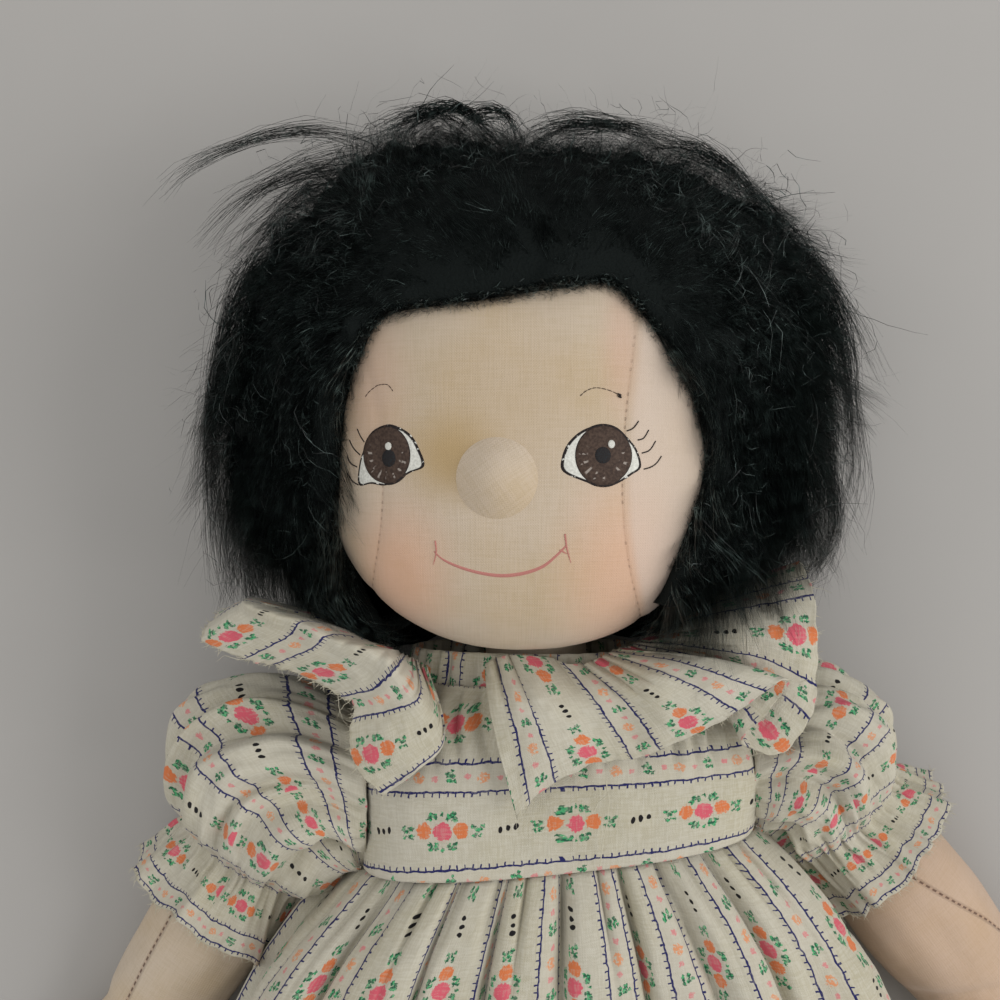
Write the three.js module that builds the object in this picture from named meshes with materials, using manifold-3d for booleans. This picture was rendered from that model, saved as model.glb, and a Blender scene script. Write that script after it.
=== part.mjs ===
// A stuffed rag doll in a gathered dress, lying on its back.
// Millimetres. +Z is the doll's front, +Y runs from its feet to its crown, and +X is its own left side.
// The origin is on the flat of the dress's back, between the shoulder blades, where the doll lies.
import * as THREE from "three";
import { mergeVertices } from "three/addons/utils/BufferGeometryUtils.js";
import Module from "manifold-3d";

const wasm = await Module();
wasm.setup();

// Cloth and fits
const SEAT_GAP = 0.3; // between pieces that touch
const FACET_ROOM = 0.15; // more where flat-sided rings fit round each other
const SKIN_CLOTH = 0.9; // body cloth
const DRESS_CLOTH = 0.8; // printed cotton
const CUT_OVERRUN = 20; // how far a cutter runs past what it cuts
const STITCH_BASE = 0.35; // between stitching and the faceted head
const LYING_SHARE = 0.97; // height of a lying limb's middle, of its half depth

// Back of the dress: two panels that lap over a strip of hook and loop tape
const TAPE = { width: 10, length: 34, thickness: 0.9, edge: 0.7, aboveMiddle: 1 };
const LAP_LAYERS = 2 * DRESS_CLOTH + 2 * TAPE.thickness + 4 * SEAT_GAP;

const TORSO = {
  top: 9.7,
  length: 129,
  halfWidth: 45,
  depth: 54,
  widthShares: [[0, 0.66], [0.08, 0.82], [0.22, 0.89], [0.45, 0.95], [0.75, 1.02], [1, 0.94]],
  depthShares: [[0, 0.8], [0.08, 0.86], [0.22, 0.93], [0.45, 0.98], [0.75, 1], [1, 0.86]],
  topRound: 3,
  seatRound: 12,
};
const NECK = { x: -6, radius: 14, height: 40, pivotAboveTorso: 14.3 };
const HEAD = { x: -10, y: 86, z: 56, halfWidth: 54, halfLength: 61, halfDepth: 48, turn: 8 };
const HEAD_POWER = 2.25; // 2 is an ellipsoid, and more is fuller
const ARM = {
  radius: 17.5,
  length: 152,
  pivotX: 62.8,
  pivotY: -1,
  handLength: 44,
  sleeveClearance: 2.9,
  thumb: { length: 24, radius: 6.5, angle: 38 },
};
const ARM_ANGLES = { left: 51, right: 57 }; // below the line of the shoulders
const LEG = {
  radius: 19,
  length: 146,
  pivotX: 23,
  splay: 3,
  skirtClearance: 2.5,
  footHeight: 46,
  footRadius: 15,
};
const SKIRT = {
  top: -29,
  length: 150,
  waistHalfWidth: 50.5,
  hemHalfWidth: 130,
  frontRoom: 13.4,
  folds: 12,
  foldDepth: 6.5,
  heightShares: [[0, 0.93], [0.16, 1.02], [0.5, 0.95], [1, 0.75]],
  flareShares: [[0, 0.02], [0.067, 0.12], [0.147, 0.228], [0.313, 0.43], [0.607, 0.73], [1, 1]],
};
const BODICE = {
  halfWidth: 51,
  armholeHalfWidth: 42.6,
  frontRoom: 8.4,
  top: 15,
  neckHalfWidth: 27,
  neckDepth: 21,
  backFlat: 3,
  squareness: 0.87,
  seamAngle: { front: 84, back: 92 },
  armholeAngle: { front: 54, back: 129 },
};
const ARMHOLE = { aboveWaist: 5, rise: 8, belowTop: 12, fall: 6, sleeveAboveWaist: 9 };
const NECK_BAND = { width: 5.5, thickness: 1.2, slope: 1.5 };
const FRILL = {
  width: 44,
  flutes: 5,
  fluteDepth: 3.2,
  halfGap: 9,
  sweep: 112,
  chestLift: 5.5,
  shoulderLift: 24,
  outwardBy: 75,
  fallsFrom: 85,
  fallShare: 0.02,
};
const SLEEVE = { elasticAt: 44, frillWidth: 20, puffRadius: 30, frillRadius: 25, folds: 8, foldDepth: 1.8 };
const ELASTIC = { width: 4, thickness: 1.2 };
const DRAWERS = {
  top: -96,
  length: 60,
  halfWidth: 55,
  legRoom: 3,
  widthShares: [[0, 0.94], [0.5, 1], [1, 1.02]],
};
const WIG = {
  pile: 33,
  crownPile: 21,
  crownRound: 9,
  bottom: 37,
  frontHeight: 86,
  offset: 3.5,
  underside: 1,
  neckRoom: 4,
  widthShares: [
    [0, 0.58], [0.137, 0.7], [0.27, 0.82], [0.36, 0.91], [0.52, 0.985], [0.75, 1], [0.94, 0.95], [1, 0.82],
  ],
  depthShares: [[0, 0.45], [0.18, 0.76], [0.36, 0.94], [0.7, 1], [1, 0.86]],
};
const NOSE = { radius: 9.3, height: 8.5, x: 0, y: -17, seat: 1.2, roundShare: 0.86 };
const EYE = {
  spacing: 51,
  y: -11.5,
  whiteHalfWidth: 9.5,
  whiteHalfHeight: 7.2,
  irisRadius: 6.9,
  threadHeight: 0.5,
};
const MOUTH = { halfWidth: 15.3, y: -33, sag: 6.3, radius: 0.7 };

// Where the pieces meet
const HALF = 0.5;
const TORSO_BACK = LAP_LAYERS; // the torso lies on the lapped panels
const TORSO_MID = TORSO_BACK + TORSO.depth * HALF;
const NECK_PIVOT_Y = TORSO.top + NECK.pivotAboveTorso;
const HIP_Y = TORSO.top - TORSO.length - SEAT_GAP - LEG.radius;
const HIP_Z = LEG.skirtClearance + LEG.radius;
const ARM_Z = ARM.sleeveClearance + ARM.radius;
const WAIST_Y = SKIRT.top;
const CHEST_TOP = TORSO_BACK + TORSO.depth;
const BODICE_FRONT = CHEST_TOP + BODICE.frontRoom;
const SKIRT_FRONT = CHEST_TOP + SKIRT.frontRoom;

// Smooth curve through a table of [share, value] at a share
function through(table, share) {
  let i = 0;
  while (i < table.length - 2 && share > table[i + 1][0]) i++;
  const slope = (a, b) => (table[b][1] - table[a][1]) / (table[b][0] - table[a][0]);
  const span = table[i + 1][0] - table[i][0];
  const t = Math.min(1, Math.max(0, (share - table[i][0]) / span));
  const before = slope(Math.max(0, i - 1), i + 1) * span;
  const after = slope(i, Math.min(table.length - 1, i + 2)) * span;
  const [a, b] = [table[i][1], table[i + 1][1]];
  const t2 = t * t;
  const t3 = t2 * t;
  return (2 * t3 - 3 * t2 + 1) * a + (t3 - 2 * t2 + t) * before + (3 * t2 - 2 * t3) * b + (t3 - t2) * after;
}

const smooth = (t) => {
  const c = Math.min(1, Math.max(0, t));
  return c * c * (3 - 2 * c);
};
const mix = (a, b, t) => a + (b - a) * t;
const signedPower = (v, p) => Math.sign(v) * Math.abs(v) ** p;
const radians = (degrees) => (degrees * Math.PI) / 180;

function geometryOf(points, faces) {
  const made = new THREE.BufferGeometry();
  made.setAttribute("position", new THREE.Float32BufferAttribute(points.flat(), 3));
  made.setIndex(faces.flat());
  return made;
}

// A closed solid through rings of points, with a point at each end
function ringsGeometry(first, rings, last) {
  const sides = rings[0].length;
  const points = [first, ...rings.flat(), last];
  const at = (ring, side) => 1 + ring * sides + (side % sides);
  const faces = [];
  for (let s = 0; s < sides; s++) {
    faces.push([0, at(0, s), at(0, s + 1)]);
    faces.push([points.length - 1, at(rings.length - 1, s + 1), at(rings.length - 1, s)]);
    for (let r = 0; r < rings.length - 1; r++) {
      faces.push([at(r, s), at(r + 1, s), at(r, s + 1)]);
      faces.push([at(r, s + 1), at(r + 1, s), at(r + 1, s + 1)]);
    }
  }
  return geometryOf(points, faces);
}

// A sheet of cloth from outerAt(u, v) and innerAt(u, v), closed at its rims. A tube wraps round in u.
function sheetGeometry(outerAt, innerAt, across, along, isTube) {
  const points = [];
  const columns = isTube ? across : across + 1;
  for (const surface of [outerAt, innerAt]) {
    for (let v = 0; v <= along; v++) {
      for (let u = 0; u < columns; u++) points.push(surface(u / across, v / along));
    }
  }
  const layer = columns * (along + 1);
  const at = (side, u, v) => side * layer + v * columns + (u % columns);
  const faces = [];
  const quad = (a, b, c, d) => faces.push([a, b, c], [a, c, d]);
  for (let u = 0; u < across; u++) {
    for (let v = 0; v < along; v++) {
      quad(at(0, u, v), at(0, u + 1, v), at(0, u + 1, v + 1), at(0, u, v + 1));
      quad(at(1, u, v), at(1, u, v + 1), at(1, u + 1, v + 1), at(1, u + 1, v));
    }
    quad(at(0, u + 1, 0), at(0, u, 0), at(1, u, 0), at(1, u + 1, 0));
    quad(at(0, u, along), at(0, u + 1, along), at(1, u + 1, along), at(1, u, along));
  }
  if (isTube) return geometryOf(points, faces);
  for (let v = 0; v < along; v++) {
    quad(at(0, 0, v), at(0, 0, v + 1), at(1, 0, v + 1), at(1, 0, v));
    quad(at(0, across, v + 1), at(0, across, v), at(1, across, v), at(1, across, v + 1));
  }
  return geometryOf(points, faces);
}

// The inner face of a sheet, its cloth's thickness behind the outer face
const behind = (surface, thickness) => (u, v) => {
  const at = (du, dv) => new THREE.Vector3(...surface(u + du, v + dv));
  const nudge = 0.01;
  const alongU = at(nudge, 0).sub(at(-nudge, 0));
  const alongV = at(0, nudge).sub(at(0, -nudge));
  return at(0, 0).addScaledVector(alongU.cross(alongV).normalize(), thickness).toArray();
};

function solidOf(geometry) {
  const plain = geometry.index ? geometry.toNonIndexed() : geometry.clone();
  plain.deleteAttribute("normal");
  plain.deleteAttribute("uv");
  const merged = mergeVertices(plain);
  const mesh = new wasm.Mesh({
    numProp: 3,
    vertProperties: merged.attributes.position.array,
    triVerts: new Uint32Array(merged.index.array),
  });
  return new wasm.Manifold(mesh);
}

// The largest piece of a solid, so that no crumb is left by a cut
function geometryFrom(solid) {
  const largest = solid.decompose().sort((a, b) => b.volume() - a.volume())[0];
  const mesh = largest.getMesh();
  const made = new THREE.BufferGeometry();
  made.setAttribute("position", new THREE.BufferAttribute(mesh.vertProperties, 3));
  made.setIndex(new THREE.BufferAttribute(mesh.triVerts, 1));
  return made;
}

// A stuffed bag along -Y from its start. Its ends are round, and floor(d) is the lowest that it lies.
function bagSolid(bag, inset, { sides, middle, ends }) {
  const span = bag.length - 2 * inset;
  const rounds = [bag.startRound - inset, bag.endRound - inset];
  const stations = [];
  const power = bag.power ?? 2;
  const endShare = (scale) => 1 - (1 - scale ** power) ** (1 / power);
  for (let k = 1; k <= ends; k++) {
    const scale = Math.sin((HALF * Math.PI * k) / ends);
    stations.push({ d: rounds[0] * endShare(scale), scale });
  }
  const clear = span - rounds[0] - rounds[1];
  for (let k = 1; k <= middle; k++) stations.push({ d: rounds[0] + (clear * k) / (middle + 1), scale: 1 });
  for (let k = ends; k >= 1; k--) {
    const scale = Math.sin((HALF * Math.PI * k) / ends);
    if (clear > 0 || k < ends) stations.push({ d: span - rounds[1] * endShare(scale), scale });
  }
  const place = (d, across, up, scale) => {
    const at = d + inset;
    const x = bag.centreX(at) + across * (bag.halfWidth(at) - inset) * scale;
    const z = bag.centreZ(at) + up * (bag.halfDepth(at) - inset) * scale;
    return [x, -at, Math.max(z, bag.floor(at) + inset)];
  };
  const corner = 2 / (bag.section ?? 2);
  const rings = stations.map(({ d, scale }) =>
    Array.from({ length: sides }, (_, s) => {
      const angle = (2 * Math.PI * s) / sides;
      return place(d, signedPower(Math.sin(angle), corner), signedPower(Math.cos(angle), corner), scale);
    }),
  );
  return solidOf(ringsGeometry(place(0, 0, 0, 1), rings, place(span, 0, 0, 1)));
}

const torsoBag = {
  length: TORSO.length,
  startRound: TORSO.topRound,
  endRound: TORSO.seatRound,
  halfWidth: (d) => TORSO.halfWidth * through(TORSO.widthShares, d / TORSO.length),
  halfDepth: (d) => TORSO.depth * HALF * through(TORSO.depthShares, d / TORSO.length),
  centreX: () => 0,
  centreZ: () => TORSO_MID,
  floor: () => TORSO_BACK,
  section: 2.3,
  power: 3,
};

const headBag = {
  length: 2 * HEAD.halfLength,
  startRound: HEAD.halfLength,
  endRound: HEAD.halfLength,
  halfWidth: () => HEAD.halfWidth,
  halfDepth: () => HEAD.halfDepth,
  centreX: () => 0,
  centreZ: () => 0,
  floor: () => -HEAD.z,
  section: HEAD_POWER,
  power: HEAD_POWER,
};

const HAND_START = 1 - ARM.handLength / ARM.length;
const armWidthShares = [[0, 1], [0.4, 1], [0.66, 0.88], [HAND_START, 0.8], [0.84, 1.08], [1, 0.98]];
const armDepthShares = [[0, 1], [0.4, 0.98], [0.66, 0.84], [HAND_START, 0.74], [0.84, 0.66], [1, 0.5]];
const SLEEVE_END = SLEEVE.elasticAt + SLEEVE.frillWidth;
const ARM_SINK = ARM.radius * 1.2; // length over which the arm comes down past the sleeve
const armFloor = (along) => mix(ARM.sleeveClearance, 0, smooth((along - SLEEVE_END) / ARM_SINK)) - ARM_Z;
const armBag = {
  length: ARM.length + ARM.radius,
  startRound: ARM.radius,
  endRound: ARM.radius,
  halfWidth: (d) => ARM.radius * through(armWidthShares, Math.max(0, d - ARM.radius) / ARM.length),
  halfDepth: (d) => ARM.radius * through(armDepthShares, Math.max(0, d - ARM.radius) / ARM.length),
  centreX: () => 0,
  centreZ: (d) => {
    const along = Math.max(0, d - ARM.radius) / ARM.length;
    const resting = armFloor(d - ARM.radius) + ARM.radius * through(armDepthShares, along) * LYING_SHARE;
    return mix(0, resting, smooth(along * 3));
  },
  floor: (d) => armFloor(d - ARM.radius),
};

const legWidthShares = [[0, 1], [0.2, 1.06], [0.5, 0.98], [0.8, 0.84], [1, 0.86]];
const legDepthShares = [[0, 1], [0.2, 0.99], [0.5, 0.96], [0.8, 0.84], [1, 0.86]];
const hemAlong = HIP_Y - (SKIRT.top - SKIRT.length);
const legFloor = (d) => mix(LEG.skirtClearance, 0, smooth((d - LEG.radius - hemAlong) / LEG.radius)) - HIP_Z;
const legBag = {
  length: LEG.length + LEG.radius,
  startRound: LEG.radius,
  endRound: LEG.footRadius,
  halfWidth: (d) => LEG.radius * through(legWidthShares, Math.max(0, d - LEG.radius) / LEG.length),
  halfDepth: (d) => LEG.radius * through(legDepthShares, Math.max(0, d - LEG.radius) / LEG.length),
  centreX: () => 0,
  centreZ: (d) => {
    const along = Math.max(0, d - LEG.radius) / LEG.length;
    const resting = legFloor(d) + LEG.radius * through(legDepthShares, along) * LYING_SHARE;
    return mix(0, resting, smooth(along * 3));
  },
  floor: legFloor,
};
// The foot stands up from the heel, so its bag runs along +Z
const footWidthShares = [[0, 0.9], [0.5, 1], [1, 1.16]];
const footDepthShares = [[0, 0.95], [0.5, 0.9], [1, 0.72]];
const footBag = {
  length: LEG.footHeight,
  startRound: LEG.footRadius,
  endRound: LEG.footRadius * 0.8,
  halfWidth: (d) => LEG.footRadius * through(footWidthShares, d / LEG.footHeight),
  halfDepth: (d) => LEG.footRadius * through(footDepthShares, d / LEG.footHeight),
  centreX: () => 0,
  centreZ: () => 0,
  floor: () => -LEG.footHeight,
};
const thumbBag = {
  length: ARM.thumb.length,
  startRound: ARM.thumb.radius,
  endRound: ARM.thumb.radius,
  halfWidth: () => ARM.thumb.radius,
  halfDepth: () => ARM.thumb.radius * 0.9,
  centreX: () => 0,
  centreZ: () => 0,
  floor: () => -ARM.length,
};

// Tools that cut and seat the pieces
function cylinderAlongY(radius, length, x, yTop, z, sides = 18) {
  const made = new THREE.CylinderGeometry(radius, radius, length, sides);
  made.translate(x, yTop - length * HALF, z);
  return solidOf(made);
}
function ball(radius, x, y, z, sides = 16) {
  const made = new THREE.SphereGeometry(radius, sides, sides * HALF);
  made.translate(x, y, z);
  return solidOf(made);
}

// A stuffed piece as its sewn skin, open where it was stuffed, and the filling inside
function stuffed(makeSolid, openingAt) {
  const skin = makeSolid(0).subtract(makeSolid(SKIN_CLOTH)).subtract(openingAt);
  return { skin: geometryFrom(skin), filling: geometryFrom(makeSolid(SKIN_CLOTH + SEAT_GAP + 2 * FACET_ROOM)) };
}
const BODY_DETAIL = { sides: 16, middle: 4, ends: 3 };
const LIMB_DETAIL = { sides: 12, middle: 4, ends: 3 };
const SMALL_DETAIL = { sides: 10, middle: 1, ends: 2 };
const HEAD_DETAIL = { sides: 20, middle: 0, ends: 5 };

function torsoSolid(inset) {
  return bagSolid(torsoBag, inset, BODY_DETAIL).translate([0, TORSO.top, 0]);
}

// The head, with the hollow that the top of the neck fills
function headSolid(inset) {
  const placed = bagSolid(headBag, inset, HEAD_DETAIL).translate([HEAD.x, HEAD.y + HEAD.halfLength, HEAD.z]);
  const socket = ball(NECK.radius + SEAT_GAP + Math.max(0, inset), NECK.x, NECK_PIVOT_Y, NECK.height);
  return inset < 0 ? placed : placed.subtract(socket);
}

function armSolid(inset, side) {
  const arm = bagSolid(armBag, inset, LIMB_DETAIL).translate([0, ARM.radius, 0]);
  const thumb = bagSolid(thumbBag, inset, SMALL_DETAIL)
    .rotate([0, 0, side * ARM.thumb.angle])
    .translate([side * ARM.radius * HALF, ARM.handLength * 0.9 - ARM.length, ARM.radius * HALF - ARM_Z]);
  return arm.add(thumb);
}

function legSolid(inset) {
  const leg = bagSolid(legBag, inset, LIMB_DETAIL).translate([0, LEG.radius, 0]);
  const foot = bagSolid(footBag, inset, SMALL_DETAIL)
    .rotate([-90, 0, 0])
    .translate([0, LEG.footRadius - LEG.length, -HIP_Z]);
  return leg.add(foot);
}

// Height of the dress over the torso at a distance below the bodice's top
const bodiceAt = (y) => {
  const down = (BODICE.top - y) / (BODICE.top - WAIST_Y);
  const { halfWidth, neckHalfWidth, neckDepth } = BODICE;
  const halfWidths = [
    [0, neckHalfWidth], [0.22, halfWidth * 0.86], [0.5, halfWidth], [1, SKIRT.waistHalfWidth],
  ];
  const fronts = [[0, NECK.height + neckDepth], [0.4, BODICE_FRONT], [1, BODICE_FRONT]];
  return { halfWidth: through(halfWidths, down), front: through(fronts, down) };
};
// How far the bodice is cut away for the arm, from 0 below it to 1 beside it
const armholeAt = (y) => {
  const risen = smooth((y - WAIST_Y - ARMHOLE.aboveWaist) / ARMHOLE.rise);
  return risen * (1 - smooth((y - BODICE.top + ARMHOLE.belowTop) / ARMHOLE.fall));
};
const reachOf = (panel, y) => mix(BODICE.seamAngle[panel], BODICE.armholeAngle[panel], armholeAt(y));
function dressPoint(y, degrees, inset, lift = 0) {
  const { halfWidth, front } = bodiceAt(y);
  const angle = radians(degrees);
  const rise = Math.cos(angle) > 0 ? front - TORSO_MID : TORSO_MID + BODICE.backFlat;
  const x = (halfWidth - inset) * signedPower(Math.sin(angle), BODICE.squareness);
  const z = TORSO_MID + (rise - inset) * signedPower(Math.cos(angle), BODICE.squareness);
  return [x, y, Math.max(z, inset) + lift];
}

const frontPanel = (inset) => (u, v) => {
  const y = mix(WAIST_Y + SEAT_GAP, BODICE.top, v);
  return dressPoint(y, (2 * u - 1) * reachOf("front", y), inset);
};
const LAP_START = 0.8; // share of a back panel that reaches the middle
// A back panel runs from the side seam to past the middle, side is +1 for the doll's left
const backPanel = (inset, side, lap) => (u, v) => {
  const y = mix(WAIST_Y + SEAT_GAP, BODICE.top, v);
  const degrees = mix(reachOf("back", y), 180, Math.min(1, u / LAP_START));
  const [x, , z] = dressPoint(y, degrees, inset);
  const lapped = Math.max(0, (u - LAP_START) / (1 - LAP_START)) * TAPE.width * HALF;
  return [side * (x - lapped), y, z + lap * smooth((u - 0.5) / 0.2)];
};

function tapeGeometry(z) {
  const made = new THREE.BoxGeometry(TAPE.width - 2 * TAPE.edge, TAPE.length * 0.8, TAPE.thickness);
  made.translate(0, (WAIST_Y + BODICE.top) * HALF + TAPE.aboveMiddle, z + TAPE.thickness * HALF);
  return made;
}

const neckBandPoint = (inset) => (u, v) => {
  const angle = 2 * Math.PI * u;
  const flare = mix(0, NECK_BAND.slope, v);
  const x = (BODICE.neckHalfWidth - inset - flare) * Math.sin(angle);
  const z = NECK.height + (BODICE.neckDepth - inset - flare) * Math.cos(angle);
  return [x, BODICE.top + SEAT_GAP + NECK_BAND.width * v, z];
};

// The collar frill falls from the neck band over the chest and the shoulder
const frillPoint = (side) => (u, v) => {
  const degrees = mix(FRILL.halfGap, FRILL.sweep, u);
  const angle = radians(degrees);
  const seat = SEAT_GAP + 2.5 * FACET_ROOM - NECK_BAND.slope * HALF;
  const lifted = seat + DRESS_CLOTH * Math.max(0, Math.cos(angle));
  const rootX = (BODICE.neckHalfWidth + seat) * Math.sin(angle);
  const rootZ = NECK.height + (BODICE.neckDepth + lifted) * Math.cos(angle);
  const outward = smooth(degrees / FRILL.outwardBy);
  const flute = Math.sin(u * FRILL.flutes * 2 * Math.PI) * FRILL.fluteDepth * v;
  const reach = FRILL.width * v;
  const x = rootX + reach * mix(0.22, 1.15, outward) * Math.sin(Math.max(angle, HALF));
  const y = BODICE.top + SEAT_GAP + NECK_BAND.width * HALF + reach * mix(-0.72, 0.24, outward) - flute * 0.4;
  const overChest = BODICE_FRONT + FRILL.chestLift;
  const overShoulder = NECK.height + FRILL.shoulderLift;
  const fallen = FRILL.width * FRILL.fallShare * Math.max(0, degrees - FRILL.fallsFrom);
  const target = mix(overChest, overShoulder, outward) - fallen;
  return [side * x, y, mix(rootZ, target, smooth(v * 1.6)) + flute];
};

// The skirt: gathered at the waist, flat underneath, with folds that deepen towards the hem
const skirtPoint = (inset) => (u, v) => {
  const angle = -2 * Math.PI * u;
  const y = mix(WAIST_Y, WAIST_Y - SKIRT.length, v);
  const fold = (Math.cos(angle * SKIRT.folds) - 1) * SKIRT.foldDepth * HALF * smooth(v * 2.2 + 0.08);
  const halfWidth = skirtHalfWidth(v) - inset + fold * HALF;
  const height = SKIRT_FRONT * through(SKIRT.heightShares, v);
  const up = Math.cos(angle);
  const lying = SEAT_GAP + inset;
  const x = halfWidth * signedPower(Math.sin(angle), 0.85);
  const z = TORSO_MID + (up > 0 ? height - TORSO_MID : TORSO_MID) * signedPower(up, 0.8);
  const crest = up > 0 ? fold * signedPower(up, 0.5) - inset * up : 0;
  return [x, y, Math.max(z + crest, lying)];
};

// Drawers round the seat and the tops of the legs
const drawersPoint = (inset) => (u, v) => {
  const angle = -2 * Math.PI * u;
  const y = mix(DRAWERS.top, DRAWERS.top - DRAWERS.length, v);
  const halfWidth = DRAWERS.halfWidth * through(DRAWERS.widthShares, v) - inset;
  const x = halfWidth * signedPower(Math.sin(angle), 0.7);
  const crest = CHEST_TOP + 2 * SEAT_GAP + DRESS_CLOTH;
  const overLegs = HIP_Z + LEG.radius + DRESS_CLOTH + 2 * SEAT_GAP + DRAWERS.legRoom;
  const height = mix(crest, overLegs, smooth(v * 1.1));
  const mid = height * HALF;
  const z = mid + mid * signedPower(Math.cos(angle), 0.7);
  const floor = DRESS_CLOTH + 2 * SEAT_GAP + inset;
  return [x, y, Math.max(z - (Math.cos(angle) > 0 ? inset : 0), floor)];
};

const skirtHalfWidth = (v) => mix(SKIRT.waistHalfWidth, SKIRT.hemHalfWidth, through(SKIRT.flareShares, v));
const dressSideAt = (y) => {
  if (y < WAIST_Y) return skirtHalfWidth((WAIST_Y - y) / SKIRT.length) - SEAT_GAP;
  const risen = smooth((y - WAIST_Y - ARMHOLE.sleeveAboveWaist) / ARMHOLE.rise);
  const beside = mix(BODICE.halfWidth, BODICE.armholeHalfWidth, risen);
  return y > ARM.pivotY ? Math.min(beside, bodiceAt(Math.min(y, BODICE.top)).halfWidth) : beside;
};
const SLEEVE_ROWS = { elastic: 5, all: 7 };
const Z_AXIS = new THREE.Vector3(0, 0, 1);

// A puffed sleeve round the arm, in the arm's own frame, with its frill past the elastic
const sleevePoint = (inset, side, tilt) => (u, v) => {
  const angle = -2 * Math.PI * u;
  const start = -ARM.radius * 0.9;
  const elastic = SLEEVE_ROWS.elastic / SLEEVE_ROWS.all;
  const past = (v - elastic) / (1 - elastic);
  const d = v < elastic ? mix(start, SLEEVE.elasticAt, v / elastic) : mix(SLEEVE.elasticAt, SLEEVE_END, past);
  const elasticRadius = ARM.radius + 2 * SEAT_GAP + 2 * FACET_ROOM + ELASTIC.thickness + DRESS_CLOTH;
  const radii = [
    [0, ARM.radius * 0.8], [0.14, ARM.radius * 1.4], [0.28, SLEEVE.puffRadius * 0.95],
    [0.43, SLEEVE.puffRadius], [elastic - 0.13, SLEEVE.puffRadius * 0.8], [elastic, elasticRadius],
    [1, SLEEVE.frillRadius],
  ];
  const away = smooth(Math.abs(v - elastic) * 9);
  const fold = Math.cos(angle * SLEEVE.folds) * SLEEVE.foldDepth * away;
  const radius = through(radii, v) - inset + fold;
  const x = radius * Math.sin(angle);
  const height = mix(0, armFloor(d) + ARM.radius * LYING_SHARE, smooth((d / ARM.length) * 3));
  const z = Math.max(height + radius * Math.cos(angle), SEAT_GAP + inset - ARM_Z);
  // Cloth that would pass into the bodice or the skirt is pressed flat against it
  const onDoll = new THREE.Vector3(side * x, -d, 0).applyAxisAngle(Z_AXIS, tilt);
  const nearest = dressSideAt(ARM.pivotY + onDoll.y) + 4 * SEAT_GAP + inset - ARM.pivotX;
  onDoll.x = Math.max(onDoll.x, nearest);
  onDoll.applyAxisAngle(Z_AXIS, -tilt);
  return [side * onDoll.x, onDoll.y, z];
};

const elasticPoint = (inset) => (u, v) => {
  const angle = -2 * Math.PI * u;
  const d = SLEEVE.elasticAt + ELASTIC.width * (v - HALF);
  const along = d / ARM.length;
  const radius = ARM.radius * through(armWidthShares, along) + SEAT_GAP + ELASTIC.thickness - inset;
  const height = mix(0, armFloor(d) + ARM.radius * LYING_SHARE, smooth(along * 3));
  const lowest = SEAT_GAP * 2 + DRESS_CLOTH + inset - ARM_Z;
  return [radius * Math.sin(angle), -d, Math.max(height + radius * Math.cos(angle), lowest)];
};

// The wig: thick pile outside the skull, open over the face
function wigSolid() {
  const bottomToCrown = HEAD.y + HEAD.halfLength + WIG.crownPile - WIG.bottom;
  const halfWidth = HEAD.halfWidth + WIG.pile;
  const bag = {
    length: bottomToCrown,
    startRound: WIG.crownRound,
    endRound: WIG.pile * 0.4,
    halfWidth: (d) => halfWidth * through(WIG.widthShares, d / bottomToCrown),
    halfDepth: (d) => WIG.frontHeight * HALF * through(WIG.depthShares, d / bottomToCrown),
    centreX: () => HEAD.x + WIG.offset,
    centreZ: () => WIG.frontHeight * HALF + WIG.underside,
    floor: () => 0,
    section: 2.4,
  };
  const outer = bagSolid(bag, 0, { sides: 20, middle: 5, ends: 2 }).translate([0, WIG.bottom + bottomToCrown, 0]);
  return outer.subtract(headSolid(-SEAT_GAP)).subtract(faceWindow()).subtract(neckClearance());
}

// Outline of the face that the wig leaves open, as shares of the head's half sizes
const FACE_SHARES = [
  [-0.633, 0.348], [0.352, 0.484], [0.417, 0.456], [0.826, 0.057], [0.918, -0.228],
  [0.806, -0.615], [0.569, -0.918], [0.45, -1.25], [-0.5, -1.25], [-0.602, -0.961],
  [-0.815, -0.7], [-0.904, -0.27], [-0.833, 0.056],
];
function faceWindow() {
  const outline = new THREE.Shape();
  FACE_SHARES.forEach(([x, y], i) => {
    const [px, py] = [HEAD.x + x * HEAD.halfWidth, HEAD.y + y * HEAD.halfLength];
    if (i) outline.lineTo(px, py);
    else outline.moveTo(px, py);
  });
  const made = new THREE.ExtrudeGeometry(outline, { depth: WIG.frontHeight, bevelEnabled: false });
  made.translate(0, 0, HEAD.z);
  return solidOf(made);
}
function neckClearance() {
  const radius = NECK.radius + WIG.neckRoom;
  return cylinderAlongY(radius, CUT_OVERRUN + NECK.radius, NECK.x, NECK_PIVOT_Y + CUT_OVERRUN, NECK.height);
}

// A point on the front of the head, by its place on the turned face
function facePoint(x, y, lift) {
  const turn = radians(-HEAD.turn);
  const across = (z) => x * Math.cos(turn) + z * Math.sin(turn);
  const up = (z) => -x * Math.sin(turn) + z * Math.cos(turn);
  const share = (v, half) => Math.abs(v / half) ** HEAD_POWER;
  const fill = (z) => share(across(z), HEAD.halfWidth) + share(y, HEAD.halfLength) + share(up(z), HEAD.halfDepth);
  let [low, high] = [0, HEAD.halfDepth * 2];
  for (let i = 0; i < 40; i++) {
    const mid = (low + high) * HALF;
    if (fill(mid) < 1) low = mid;
    else high = mid;
  }
  const z = low + lift;
  return [HEAD.x + across(z), HEAD.y + y, HEAD.z + up(z)];
}

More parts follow.
